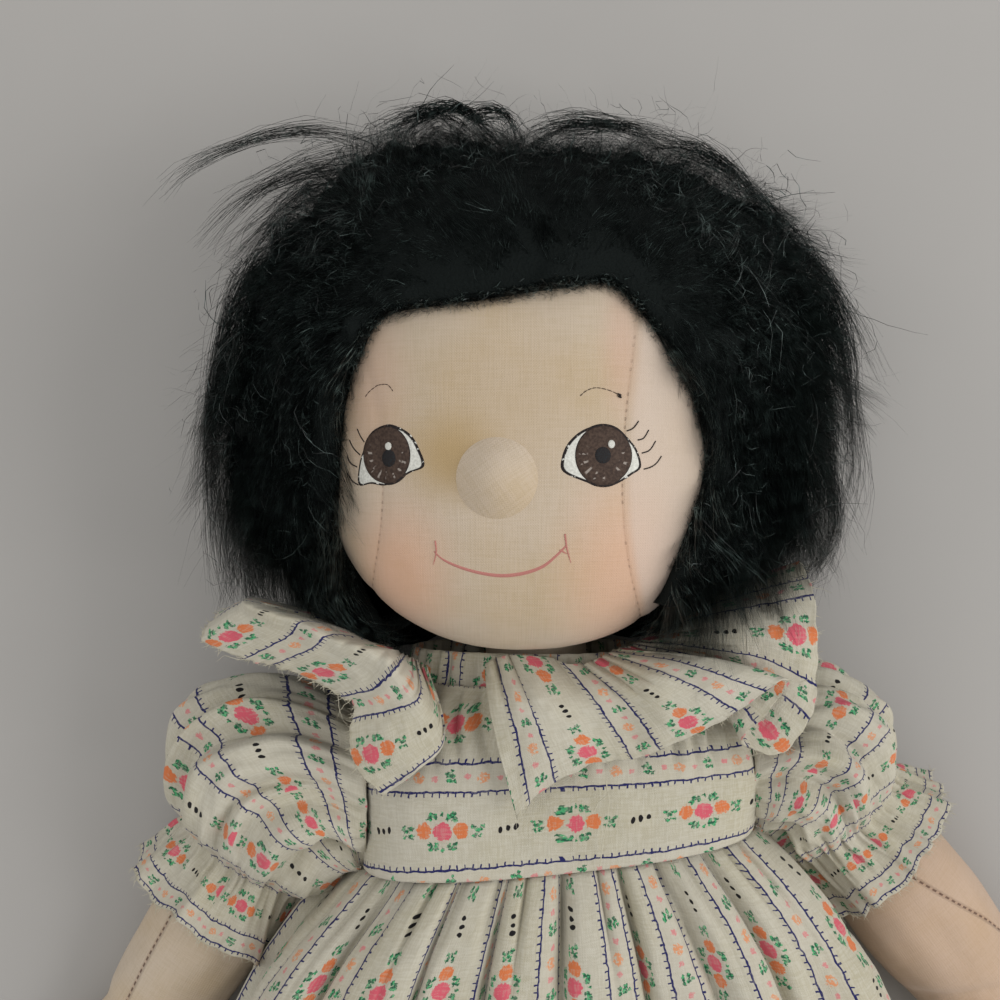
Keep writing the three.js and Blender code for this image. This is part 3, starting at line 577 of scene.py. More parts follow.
def node_cloth(name, colour, dark, scale, depth):
    """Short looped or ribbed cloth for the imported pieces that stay, on their own place."""
    shader = Shader(name, roughness=0.9, specular=0.2)
    grain = shader.noise(shader.place(), scale, 3.0)
    shader.paint(grain.between(0.35, 0.65), colour, under=dark)
    return shader.finish(grain, depth)


def embroidery(name, colour, dark, across=5.0, along=0.7):
    """Painted or stitched thread on cloth, streaked outwards over the piece's own u and v."""
    shader = Shader(name, roughness=0.75, specular=0.25)
    u, v, _ = shader.split(shader.flat())
    streak = shader.noise(shader.combine(u * across, v * along), 6.0, 2.0)
    shader.paint(streak.between(0.35, 0.7), colour, under=dark)
    return shader.finish(streak + shader.noise(shader.place(), 2.2, 1.0), 0.08)


def iris_paint(name):
    """Brown iris with a broken dark rim and pale flecks that point at the pupil in its lower half."""
    shader = Shader(name, roughness=0.7, specular=0.25)
    u, v, _ = shader.split(shader.flat())
    place = shader.place()
    grain = shader.noise(place, 1.6, 3.0)
    shader.paint(grain.between(0.3, 0.7), "iris_light", under="iris")
    rays = abs((u * 15.0).fract() - 0.5).between(0.17, 0.08)
    fleck = rays * abs(u - 0.5).between(0.34, 0.28) * v.between(0.5, 0.58) * v.between(0.84, 0.76)
    shader.paint(fleck * shader.noise(place, 0.8, 1.0).between(0.5, 0.56) * 0.5, "fleck")
    shader.paint(v.between(0.88, 0.92) * shader.noise(place, 1.5, 1.0).between(0.32, 0.42), "outline")
    return shader.finish(grain, 0.12)


def eye_paint(name):
    """Chalky white with a thin dark outline that breaks here and there."""
    shader = Shader(name, roughness=0.75, specular=0.2)
    _, v, _ = shader.split(shader.flat())
    place = shader.place()
    grain = shader.noise(place, 1.8, 3.0)
    shader.paint(grain.between(0.3, 0.7), "eye_white", under="eye_grey")
    shader.paint(v.between(0.875, 0.9) * shader.noise(place, 1.3, 1.0).between(0.3, 0.4), "outline")
    return shader.finish(grain, 0.1)


def fur(name, dense=False):
    """Near-black pile. The strands are mottled with a lighter blue-grey as painted highlight."""
    shader = Shader(name, roughness=0.8 if dense else 0.42, specular=0.1 if dense else 0.5)
    # Painted highlight on the strands; the dense pile stays plain fur
    highlight_mottle = shader.noise(shader.place(), 0.6 if dense else 0.35, 2.0)
    shader.paint(highlight_mottle.between(0.4, 0.75), "fur" if dense else "painted_fur_highlight", under="fur")
    return shader.finish(shader.noise(shader.place(), 1.4, 3.0) if dense else None, 0.8)


# Settings


def size(label, description, millimetres):
    return bpy.props.FloatProperty(
        name=label, description=description, default=millimetres * MM, unit="LENGTH", subtype="DISTANCE"
    )


def paint(label, description, *srgb):
    return bpy.props.FloatVectorProperty(
        name=label, description=description, default=linear(*srgb), subtype="COLOR", size=3, min=0, max=1
    )


class DollSizes(bpy.types.PropertyGroup):
    head_width: size("Head width", "Across the stuffed head", 108)
    head_length: size("Head length", "Chin to crown", 122)
    head_depth: size("Head depth", "Face to back of the head", 96)
    nose_radius: size("Nose radius", "Radius of the padded nose", 9.6)
    nose_height: size("Nose height", "How far the nose stands out", 4.6)
    dress_cloth: size("Dress cloth", "Thickness of the dress cotton", 0.45)
    frill_width: size("Frill width", "Collar frill from seam to raw edge", 44)
    arm_radius: size("Arm radius", "Radius of the upper arm", 17.5)
    arm_length: size("Arm length", "Shoulder pivot to fingertips", 152)
    leg_radius: size("Leg radius", "Radius of the thigh", 19)
    leg_length: size("Leg length", "Hip to heel", 146)
    skirt_length: size("Skirt length", "Waist seam to hem", 150)
    sleeve_round: size("Sleeve cloth", "Cloth gathered into a sleeve's elastic", 250)
    hair_width: size("Hair width", "Width of one strand of pile", 0.25)
    hair_length: size("Hair length", "Length of a usual strand", 24)
    hair_count: bpy.props.IntProperty(
        name="Hairs", description="Strands in each part of the wig", default=13500, min=10
    )


class DollColours(bpy.types.PropertyGroup):
    skin: paint("Skin", "Body cloth", 194, 178, 157)
    skin_warm: paint("Warm skin", "Warmer patches of the body cloth", 190, 170, 141)
    # Pale threads of the body cloth, and the painted light on the face's right side panel
    pale_thread_and_lit_side: paint("Light skin", "Pale threads of the body cloth", 208, 190, 176)
    skin_thread: paint("Dark thread", "Shade between the body cloth's threads", 170, 148, 120)
    blush: paint("Blush", "Cheeks", 224, 168, 136)
    blush_pink: paint("Pink blush", "Pink tint by the brows and the seam", 210, 166, 146)
    # Yellowed cloth of the face, and also the painted shade beside the nose
    stain_and_nose_shade: paint("Stain", "Yellowed cloth round the nose", 176, 150, 108)
    # Pinker cloth of the left arm, darkened too as the painted shade that the cuff casts on it
    pinker_and_shaded_arm: paint("Arm tint", "Pinker cloth of the left arm", 180, 140, 114)
    # Painted shade inside a seam's groove, and the thread line of the face's seams
    crease: paint("Crease", "Inside of a seam", 150, 108, 84)
    needle: paint("Needle hole", "Needle holes and dark thread of a seam", 70, 46, 38)
    mouth: paint("Mouth", "Stitched mouth", 196, 132, 122)
    mouth_dark: paint("Mouth shade", "Shade of the stitched mouth", 176, 114, 106)
    iris: paint("Iris", "Brown of the iris", 56, 42, 35)
    iris_light: paint("Light iris", "Lighter brown of the iris", 78, 62, 52)
    fleck: paint("Fleck", "Pale flecks in the iris", 196, 186, 176)
    pupil: paint("Pupil", "Pupil", 34, 38, 40)
    outline: paint("Outline", "Line round the eyes, lashes and brows", 34, 28, 28)
    brow: paint("Brow", "Thread of the brows", 104, 82, 70)
    eye_white: paint("Eye white", "White of the eye", 224, 223, 214)
    eye_grey: paint("Eye grey", "Shade in the white of the eye", 198, 197, 188)
    fur: paint("Fur", "Pile of the wig", 16, 21, 20)
    # Painted highlight of the wig's strands
    painted_fur_highlight: paint("Fur light", "Lighter pile", 96, 112, 108)
    cream: paint("Cream", "Ground of the print", 184, 178, 161)
    cream_stain: paint("Cream shade", "Aged ground of the print", 178, 171, 148)
    cream_light: paint("Cream light", "Pale threads of the print", 206, 202, 188)
    band_tint: paint("Band", "Ground between two ticked lines", 194, 187, 172)
    navy: paint("Navy", "Ticked lines", 36, 38, 88)
    pink: paint("Pink", "Roses", 206, 92, 106)
    orange: paint("Orange", "Buds beside the roses", 208, 118, 72)
    floret: paint("Floret", "Small flowers in the band", 214, 142, 98)
    dot: paint("Dot", "Small dots in the band", 208, 120, 124)
    green: paint("Green", "Leaves", 70, 160, 106)
    green_dark: paint("Dark green", "Shade of the leaves", 36, 92, 66)
    black: paint("Black", "Three ovals between roses", 26, 24, 26)
    white_cotton: paint("White cotton", "Drawers and elastic", 226, 222, 210)
    white_shade: paint("White shade", "Shade of the white cotton", 202, 198, 184)
    fray: paint("Fray", "Loose threads at raw edges", 200, 194, 168)
    floor: paint("Floor", "Ground that the doll lies on", 173, 170, 166)


def colours():
    return bpy.context.scene.doll_colours


def sizes():
    return bpy.context.scene.doll_sizes


def in_mm(name):
    return getattr(sizes(), name) / MM


# The photograph's view, and places on the face

EYE_POINT = Vector((-16, 64.2, 375))
PIXEL_SLOPE = 0.253 / 305
HEAD_CENTRE = Vector((-10, 86, 56))
HEAD_POWER = 2.25


def head_half():
    return Vector((in_mm("head_width"), in_mm("head_length"), in_mm("head_depth"))) / 2


def head_fill(point, half):
    """Under 1 inside the head and over 1 outside it."""
    return sum(abs(c / h) ** HEAD_POWER for c, h in zip(point - HEAD_CENTRE, half))


def head_normal(point, half):
    away = point - HEAD_CENTRE
    return Vector([signed_power(c / h, HEAD_POWER - 1) / h for c, h in zip(away, half)]).normalized()


def head_swell(point):
    """How far the filling pushes the face cloth out, less what its two seams pull it in."""
    swell = 0.35 * ripple(*point, scale=0.03) + 0.12 * ripple(*point, scale=0.12)
    if point.z > HEAD_CENTRE.z:
        right, left = panel_seams(point.x, point.y)
        swell -= 0.32 * math.exp(-((right / 1.4) ** 2)) + 0.3 * math.exp(-((left / 1.4) ** 2))
        swell += 0.2 * math.exp(-(((right - 4) / 3) ** 2))
    return swell


def line_of_sight(px, py):
    return Vector(((px - 500) * PIXEL_SLOPE, (500 - py) * PIXEL_SLOPE, -1))


def seen(px, py, height):
    """The point at a height that shows at a pixel of the photograph."""
    return EYE_POINT + line_of_sight(px, py) * (EYE_POINT.z - height)


def sight(px, py, lift=0.0):
    """The point of the head that shows at a pixel of the photograph, lifted off the cloth."""
    half = head_half()
    ray = line_of_sight(px, py)
    near, far = EYE_POINT.z - HEAD_CENTRE.z - half.z - 20, EYE_POINT.z - HEAD_CENTRE.z
    for _ in range(32):
        middle = (near + far) / 2
        if head_fill(EYE_POINT + ray * middle, half) > 1:
            near = middle
        else:
            far = middle
    point = EYE_POINT + ray * far
    return point + head_normal(point, half) * (lift + head_swell(point))


def patch(outline, centre, lift, crown=0.0, columns=64, rings=8):
    """A thin patch on the face inside an outline in pixels. Its u runs round and its v outwards."""
    points = [Vector((*p, 0)) for p in outline]
    middle = Vector((*centre, 0))

    def place(u, v):
        spot = mix(middle, through(points, u, closed=True), v)
        return sight(spot.x, spot.y, mix(lift, -0.12, smooth((v - 0.86) / 0.14)) + crown * (1 - v * v))

    return surface(columns, rings, place, joined=True)


def ring_outline(centre, half_width, half_height, count=16):
    turns = [2 * math.pi * k / count for k in range(count)]
    return [(centre[0] + half_width * math.sin(t), centre[1] - half_height * math.cos(t)) for t in turns]


# The photograph's pixels: eyes, brows, lashes and mouth

EYES = {
    "right": {
        "white": [
            (387, 423), (400, 426), (412, 434), (420, 447), (426, 466), (412, 473), (398, 481),
            (384, 487), (370, 485), (357, 486), (358, 464), (365, 443), (374, 430),
        ],
        "centre": (388, 457),
        "iris": (387.5, 455, 25.5, 31),
        "pupil": (390, 458, 9, 11),
        "light": (390, 446, 3.6, 4.8),
        "lashes": [
            [(364, 442), (360, 436), (357, 429)], [(360, 455), (353, 448), (349, 440)],
            [(357, 467), (350, 463), (347, 456)], [(358, 485), (352, 481), (347, 473)],
        ],
        "brow": [(365, 397), (369, 391), (376, 386), (382, 384.5), (388, 385), (393, 391)],
    },
    "left": {
        "white": [
            (602, 423), (617, 427), (629, 437), (638, 450), (642, 467), (633, 475), (620, 484),
            (603, 488), (582, 482), (561, 472), (560, 458), (567, 442), (582, 429),
        ],
        "centre": (603, 456),
        "iris": (603, 455.5, 30.5, 32.5),
        "pupil": (602, 455, 10, 10.5),
        "light": (610.5, 444, 4, 5),
        "lashes": [
            [(627, 431), (633, 428), (638, 421)], [(637, 440), (643, 438), (648, 430)],
            [(641, 453), (649, 450), (655, 441)], [(643, 469), (650, 467), (656, 463), (661, 456)],
        ],
        "brow": [(580, 396), (586, 391), (594, 388), (602, 388.5), (612, 391.5), (621, 396)],
    },
}
BROW_KNOT = [(617.5, 394), (620.5, 395), (619, 397), (617.5, 396), (621, 397.5)]
MOUTH_LINE = [
    (434, 552), (443, 560), (458, 567), (478, 573), (500, 576), (522, 574), (542, 567), (556, 556), (566, 546),
]
MOUTH_HALF_WIDTH = 1.9
MOUTH_TICKS = [
    [(435, 541), (436, 553), (433, 565)], [(565, 534), (567, 549), (571, 563)], [(560, 550), (567, 554)],
]
NOSE_CENTRE = (497, 478)


class DOLL_OT_head(bpy.types.Operator):
    """Stuff the head and its nose, with the panel seams drawn in"""

    bl_idname = "doll.head"
    bl_label = "Head"

    def execute(self, context):
        half = head_half()
        cloth = body_cloth("face cloth", face=True)
        mesh = bmesh.new()
        bmesh.ops.create_icosphere(mesh, subdivisions=7, radius=1)
        for vert in mesh.verts:
            away = vert.co.normalized()
            reach = sum(abs(c / h) ** HEAD_POWER for c, h in zip(away, half)) ** (-1 / HEAD_POWER)
            point = HEAD_CENTRE + away * reach
            vert.co = (point + head_normal(point, half) * head_swell(point)) * MM
        made = piece("head_cloth", mesh, cloth, "head", ("head_skin", "head_filling"))

        radius, height = in_mm("nose_radius"), in_mm("nose_height")
        pixel = PIXEL_SLOPE * (EYE_POINT.z - HEAD_CENTRE.z - half.z)

        def place(u, v):
            angle = 2 * math.pi * u
            spread = radius / pixel * v
            point = sight(NOSE_CENTRE[0] + spread * math.sin(angle), NOSE_CENTRE[1] - spread * math.cos(angle))
            dome = height * max(0.0, 1 - v ** 2.2) ** 1.3
            return point + Vector((0, 0, dome - 0.3 * smooth((v - 0.9) / 0.1)))

        def cloth_place(u, v):
            angle = 2 * math.pi * u + 0.6
            return radius * v * math.sin(angle), radius * v * math.cos(angle)

        nose = surface(72, 24, place, cloth_place, joined=True)
        made = piece("nose_cloth", nose, body_cloth("nose cloth"), "head", ("nose",))
        return {"FINISHED"}


class DOLL_OT_face(bpy.types.Operator):
    """Lay the eyes, lashes, brows and mouth on the face"""

    bl_idname = "doll.face"
    bl_label = "Face"

    def execute(self, context):
        white = eye_paint("eye white")
        iris = iris_paint("iris")
        pupil = embroidery("pupil", "pupil", "outline")
        light = embroidery("eye light", "eye_white", "eye_grey")
        line = embroidery("lash thread", "outline", "outline")
        brow = embroidery("brow thread", "brow", "outline")
        for side, eye in EYES.items():
            ball = patch(eye["white"], eye["centre"], 0.28)
            piece(f"{side}_eye", ball, white, "head", (f"{side}_eye_white",))
            x, y, half_width, half_height = eye["iris"]
            ring = patch(ring_outline((x, y), half_width, half_height), (x, y), 0.55, 0.1)
            piece(f"{side}_iris_disc", ring, iris, "head", (f"{side}_iris",))
            for label, material, lift in (("pupil", pupil, 0.75), ("light", light, 0.95)):
                x, y, half_width, half_height = eye[label]
                spot = patch(ring_outline((x, y), half_width, half_height), (x, y), lift, 0.05, 24, 4)
                piece(f"{side}_{label}", spot, material, "head")
            lashes = [[sight(*through_pixels(lash, k / 7), 0.05) for k in range(8)] for lash in eye["lashes"]]
            threads(f"{side}_lashes", lashes, 0.15, line, "head", tapers=False)
            stitches = [
                sight(*through_pixels(eye["brow"], k / 26), 0.06 - 0.16 * (k % 3 == 0)) for k in range(27)
            ]
            threads(f"{side}_brow", [stitches], 0.1, brow, "head", tapers=False)
        knot = [sight(x, y, 0.2) for x, y in BROW_KNOT]
        threads("brow_knot", [knot], 0.24, line, "head", tapers=False)

        def place(u, v):
            x, y = through_pixels(MOUTH_LINE, u)
            wide = MOUTH_HALF_WIDTH * math.sin(math.pi * min(1, max(0, 0.06 + 0.88 * u))) ** 0.35
            across = (v - 0.5) * 2
            return sight(x + across * wide * 0.25, y + across * wide, 0.14 * (1 - across * across) - 0.02)

        pink = embroidery("mouth thread", "mouth", "mouth_dark", across=60.0, along=1.2)
        piece("mouth", surface(90, 6, place), pink, "head", ("mouth_stitch",))
        ticks = [[sight(*through_pixels(tick, k / 5), 0.03) for k in range(6)] for tick in MOUTH_TICKS]
        threads("mouth_ends", ticks, 0.2, pink, "head")
        return {"FINISHED"}


def through_pixels(points, share):
    point = through([Vector((*p, 0)) for p in points], share)
    return point.x, point.y


# The wig: a dense pile from the hairline round to the back of the head

HAIRLINE = [
    (530, 292), (575, 286), (609, 283), (641, 310), (673, 358), (698, 410), (706, 470), (686, 540), (652, 606),
    (600, 650), (520, 660), (440, 655), (398, 632), (358, 580), (338, 490), (345, 400), (364, 345), (384, 317),
    (440, 305), (490, 298),
]
# The pile's outermost places in millimetres, one for each pixel of the hairline, and those that the chin hides
PILE_EDGE = [
    (-10, 158), (12, 159), (32, 155), (48, 147), (61, 136), (68, 120), (69, 100), (67, 80), (61, 56),
    (36, 26), (-8, 30), (-47, 22), (-70, 37), (-83, 54), (-87, 78), (-87, 102), (-81, 122), (-70, 141),
    (-50, 159), (-30, 162),
]
UNDER_CHIN = (9, 10, 11)
PILE_RISE = 5.5
PILE_BACK = Vector((-8, 92, 0))


def wig_sections():
    """For each place round the face, the points of the pile's section from the hairline to the back."""
    sections = []
    for index, ((px, py), (x, y)) in enumerate(zip(HAIRLINE, PILE_EDGE)):
        hidden = index in UNDER_CHIN
        root = Vector((mix(PILE_BACK.x, x, 0.45), 44, 34)) if hidden else sight(px, py, -1.0)
        outer = Vector((x, y, 40))
        away = Vector((outer.x - root.x, outer.y - root.y, 0))
        rise = 0 if hidden else PILE_RISE
        edge = root + away.normalized() * (1.5 if hidden else 2.6) + Vector((0, 0, rise * 0.72))
        crest = root.lerp(outer, 0.34)
        crest.z = 30 if hidden else mix(root.z, outer.z, 0.2) + rise
        shoulder = root.lerp(outer, 0.74)
        shoulder.z = 26 if hidden else mix(root.z, outer.z, 0.52) + rise * 0.8
        if hidden:
            outer.z = 20
        behind = [
            Vector((mix(PILE_BACK.x, x, share), mix(PILE_BACK.y, y, share), height))
            for share, height in ((0.93, 14), (0.72, 4), (0.15, 3.2))
        ]
        sections.append([root, edge, crest, shoulder, outer, *behind])
    return sections


def pile_point(sections, u, v):
    """A point of the surface that the wig's fibres stand on."""
    found = through([through(ring, u, closed=True) for ring in zip(*sections)], v)
    lump = 4.0 * ripple(*found, scale=0.055) + 3.6 * ripple(*found, scale=0.17)
    lump *= smooth(v / 0.2) * smooth((1 - v) / 0.2)
    found += (found - Vector((-8, 90, 40))).normalized() * lump
    half = head_half()
    least = 1 + mix(-1.5, 5.5, smooth(v / 0.2)) / half.x
    fill = max(0.01, head_fill(found, half)) ** (1 / HEAD_POWER)
    if fill < least and found.y > 42:
        found = HEAD_CENTRE + (found - HEAD_CENTRE) * (least / fill)
    return found


WIG_MIDDLE = Vector((-9, 92, 0))
# By how far round from the crown: length of the pile, and how far it is brushed outwards and down
PILE_LENGTH_SHARES = [(0, 0.42), (0.2, 0.5), (0.4, 0.85), (0.6, 1.05), (1, 0.8)]
OUTWARD_SHARES = [(0, 1.0), (0.2, 0.95), (0.4, 0.6), (0.55, 0.3), (0.7, 0.02), (1, -0.3)]
DOWN_SHARES = [(0, -0.05), (0.2, 0.2), (0.4, 0.75), (0.55, 0.95), (0.7, 1.0), (1, 0.8)]
GUIDE_HAIRS, HAIRLINE_HAIRS, OUTLINE_HAIRS, FLYAWAYS = 1700, 6000, 9000, 1500


def turned_from_crown(point):
    """How far round from the crown a place is, from 0 at the crown to 1 under the chin."""
    return abs(math.atan2(point.x - WIG_MIDDLE.x, point.y - WIG_MIDDLE.y)) / math.pi


def combed(point):
    """The way that the pile is brushed at a place: up over the crown, out and down at the sides."""
    away = Vector((point.x - WIG_MIDDLE.x, point.y - WIG_MIDDLE.y, 0))
    turned = turned_from_crown(point)
    return away.normalized() * profile(OUTWARD_SHARES, turned) - Vector((0, profile(DOWN_SHARES, turned), 0))


def from_face(point):
    return (point.xy - HEAD_CENTRE.xy).length


def stray(chance, across, up=None):
    """A random way, as far across as given and as far up."""
    spreads = (across, across, across if up is None else up)
    return Vector([chance.gauss(0, spread) for spread in spreads])


class DOLL_OT_wig(bpy.types.Operator):
    """Comb the wig: a dark pile, four lots of strands, fuzz along the hairline, and loose wisps"""

    bl_idname = "doll.wig"
    bl_label = "Wig"

    def execute(self, context):
        sections = wig_sections()
        mesh = surface(220, 64, lambda u, v: pile_point(sections, u, v), joined=True)
        flat = mesh.loops.layers.uv["cloth"]
        roots, weights = [], []
        for face in mesh.faces:
            at, share = face.calc_center_median() / MM, face.loops[0][flat].uv.y
            if at.y > 44 or abs(at.x + 8) > 34:
                roots.append((at, face.normal.copy(), share))
                outline = 1.6 if abs(face.normal.z) < 0.45 and share < 0.75 else 0.0
                dense = 0.3 if share > 0.82 else 1.5 if share < 0.2 else 1.0
                weights.append(face.calc_area() * (dense + outline))
        # Faces come in no fixed order, and the random draws need one
        order = sorted(range(len(roots)), key=lambda k: tuple(round(part, 2) for part in roots[k][0]))
        roots, weights = [roots[k] for k in order], [weights[k] for k in order]
        piece("wig_pile", mesh, fur("dense fur", dense=True), "head", ("wig",))
        strand = fur("fur strands")
        # Vector noise starts from the clock unless it is given a seed
        noise.seed_set(41)
        chance = random.Random(41)
        width, length = in_mm("hair_width"), in_mm("hair_length")
        tufts = Tufts([hair(chance, *root, length) for root in chance.choices(roots, weights, k=GUIDE_HAIRS)])
        for part in range(4):
            picked = chance.choices(roots, weights, k=sizes().hair_count)
            lines = [tufts.gather(hair(chance, *root, length), chance.uniform(0.1, 0.9)) for root in picked]
            lines = [line for line in lines if from_face(line[-1]) > from_face(line[0]) - 2.5]
            threads(f"wig_strands_{part + 1}", lines, width / 2, strand, "head", flat=True)
        fuzz = []
        hairline = [root for root in roots if root[2] < 0.12 and root[0].y > 46]
        for root, _, _ in chance.choices(hairline, k=HAIRLINE_HAIRS):
            inward = Vector((HEAD_CENTRE.x - root.x, HEAD_CENTRE.y - root.y, 0)).normalized()
            inward += Vector((chance.gauss(0, 0.8), chance.gauss(0, 0.8), 0.2))
            fuzz.append(curl(chance, root, inward, chance.uniform(1.0, 3.6), 0.8, 5))
        outline = [root for root in roots if abs(root[1].z) < 0.65 and 0.2 < root[2] < 0.75 and root[0].y > 50]
        for root, normal, _ in chance.choices(outline, k=OUTLINE_HAIRS):
            way = normal + combed(root) * 0.6 + stray(chance, 0.5)
            fuzz.append(curl(chance, root, way, chance.uniform(3, 12), 0.9, 6))
        threads("wig_fuzz", fuzz, width * 0.42, strand, "head", flat=True)
        threads("wig_wisps", wisps(chance), width * 0.5, strand, "head", flat=True)
        return {"FINISHED"}


class Tufts:
    """Guide hairs that draw the hairs round them together towards their tips."""

    def __init__(self, lines):
        self.lines = lines
        self.roots = kdtree.KDTree(len(lines))
        for index, line in enumerate(lines):
            self.roots.insert(line[0], index)
        self.roots.balance()

    def gather(self, line, pull):
        guide = self.lines[self.roots.find(line[0])[1]]
        last = len(line) - 1
        return [mix(point, guide[k], pull * smooth(k / last)) for k, point in enumerate(line)]


def hair(chance, root, normal, share, length):
    """One strand that leaves the pile, is carried the way it is combed, and sinks towards the ground."""
    reach = length * chance.uniform(0.35, 1.25) * (1.25 if chance.random() < 0.12 else 1.0)
    reach *= profile(PILE_LENGTH_SHARES, turned_from_crown(root)) * mix(0.3, 1, smooth(share / 0.22))
    steps = 6
    clump = noise.noise_vector(root * 0.035) * 0.9 + noise.noise_vector(root * 0.13 + Vector((7, 1, 3))) * 0.55
    clump += stray(chance, 0.22, 0.16)
    spread = Vector([chance.uniform(-0.6, 0.6) for _ in range(3)])
    at = root + spread - normal
    line = [at]
    crimp, phase = chance.uniform(0.15, 0.75), chance.uniform(0, 6.3)
    for k in range(steps):
        share = k / (steps - 1)
        lift = normal * (0.55 * (1 - share) ** 1.5) + Vector((0, 0, -0.28 * share))
        way = (combed(at) + lift + clump).normalized()
        wave = way.cross(Vector((0, 0, 1))) * (math.sin(phase + k * 1.9) * crimp)
        at = at + way * (reach / steps) + wave
        line.append(Vector((at.x, at.y, max(at.z, 1.0 + chance.random() * 3))))
    return line


def curl(chance, start, way, reach, crimp, steps, drop=0.0):
    """A loose hair that wanders as it goes."""
    line, at, heading = [start], start.copy(), way.normalized()
    for k in range(steps):
        heading = (heading + stray(chance, crimp * 0.45) - Vector((0, 0, drop))).normalized()
        at = at + heading * (reach / steps)
        line.append(Vector((at.x, at.y, max(at.z, 1.0))))
    return line


# Locks that leave the outline, by pixels of the photograph where each leaves, bends and ends, with its height, its
# hairs and their spread
LOCKS = [
    ([(400, 160), (369, 143), (319, 130), (269, 135), (219, 152), (185, 169), (160, 194)], 50, 60, 4.0),
    ([(400, 175), (359, 163), (309, 170), (264, 187), (229, 212), (198, 249)], 48, 90, 6.5),
    ([(390, 190), (330, 185), (290, 205), (250, 240), (218, 275)], 42, 90, 7.5),
    ([(370, 140), (400, 122), (430, 112), (455, 118), (480, 140)], 52, 90, 5.0),
    ([(400, 150), (413, 125), (443, 108), (468, 113), (488, 132), (520, 148)], 54, 90, 3.6),
    ([(455, 150), (470, 118), (500, 112), (515, 128), (520, 150)], 52, 60, 4.0),
    ([(520, 150), (555, 128), (600, 124), (650, 134), (700, 158)], 50, 150, 5.0),
    ([(640, 150), (690, 150), (730, 172), (762, 205), (790, 240)], 48, 130, 5.0),
    ([(735, 200), (762, 220), (792, 244), (826, 279), (856, 329), (880, 385)], 44, 130, 5.0),
    ([(780, 240), (816, 279), (841, 339), (851, 408), (856, 483), (836, 538)], 40, 150, 6.0),
    ([(760, 280), (800, 340), (822, 410), (826, 480), (812, 560), (790, 600)], 38, 190, 8.0),
    ([(750, 330), (787, 378), (816, 438), (836, 508), (816, 567), (742, 597)], 38, 150, 6.0),
    ([(740, 380), (775, 440), (790, 510), (775, 570), (735, 605)], 38, 190, 8.0),
    ([(284, 249), (249, 274), (227, 339), (214, 408), (212, 483), (219, 557), (234, 602)], 38, 190, 5.5),
    ([(270, 260), (236, 320), (216, 390), (204, 450), (200, 500)], 40, 110, 6.0),
    ([(300, 330), (258, 400), (240, 470), (232, 540), (240, 600)], 40, 190, 8.0),
    ([(310, 420), (268, 500), (252, 560), (258, 606), (280, 624)], 38, 170, 8.0),
    ([(340, 520), (330, 580), (350, 620), (380, 645), (404, 655)], 66, 240, 7.0),
    ([(700, 540), (690, 590), (672, 615), (655, 632), (644, 643)], 68, 240, 6.0),
]


def wisps(chance):
    """The locks, and single hairs that stray from the outline all round."""
    lines = []
    for pixels, height, hairs, spread in LOCKS:
        spine = [seen(px, py, height - 3.0 * k) for k, (px, py) in enumerate(pixels)]
        for _ in range(hairs):
            start, end = chance.uniform(0, 0.35), chance.uniform(0.6, 1.0)
            offset, loose = stray(chance, spread * 0.42), stray(chance, spread * 0.7)
            line = []
            for k in range(9):
                share = mix(start, end, k / 8)
                gather = 0.5 + 1.1 * abs(share - 0.6)
                crimp = noise.noise_vector(Vector((share * 9, offset.x * 3, offset.y * 3))) * 1.3
                at = through(spine, share) + offset * gather + loose * max(0, share - 0.5) + crimp
                line.append(Vector((at.x, at.y, max(at.z, 1.0))))
            lines.append(line)
    for _ in range(FLYAWAYS):
        u = chance.random()
        x, y = through([Vector((*p, 0)) for p in PILE_EDGE], u, closed=True).xy
        if y < 48:
            continue
        root = Vector((x, y, chance.uniform(30, 62)))
        way = combed(root) + stray(chance, 0.9, 0.3)
        reach = chance.uniform(6, 16) + 22 * chance.random() ** 3
        lines.append(curl(chance, root, way, reach, 0.8, 9, 0.04))
    return lines


# Body

ARM_PIVOTS = {"left": (Vector((62.8, -1, 20.4)), 51), "right": (Vector((-62.8, -1, 20.4)), 57)}
LEG_PIVOTS = {"left": Vector((23, -138.6, 21.5)), "right": Vector((-23, -138.6, 21.5))}
LEG_SPLAY = math.radians(3)
SIDES = {"left": 1, "right": -1}
TORSO_MID = 31.6
TORSO_LENGTH = 129
TORSO_WIDTH_SHARES = [(0, 0.78), (0.08, 0.85), (0.22, 0.9), (0.45, 0.95), (0.75, 1.02), (1, 0.94)]
TORSO_DEPTH_SHARES = [(0, 0.86), (0.08, 0.9), (0.22, 0.94), (0.45, 0.98), (0.75, 1), (1, 0.86)]
NECK_RADIUS = 13.9
HAND_LENGTH = 44
THUMB_ANGLE = math.radians(38)
FOOT_RADIUS, FOOT_HEIGHT = 15, 46
FOOT_WIDTH_SHARES = [(0, 0.9), (0.5, 1), (1, 1.16)]
FOOT_DEPTH_SHARES = [(0, 0.95), (0.5, 0.9), (1, 0.72)]


def arm_place(side):
    """Turns an arm's own millimetres, with its length along -Y, into the doll's."""
    pivot, angle = ARM_PIVOTS[side]
    return Matrix.Translation(pivot) @ Matrix.Rotation(SIDES[side] * math.radians(90 - angle), 4, "Z")


def leg_place(side):
    return Matrix.Translation(LEG_PIVOTS[side]) @ Matrix.Rotation(SIDES[side] * LEG_SPLAY, 4, "Z")


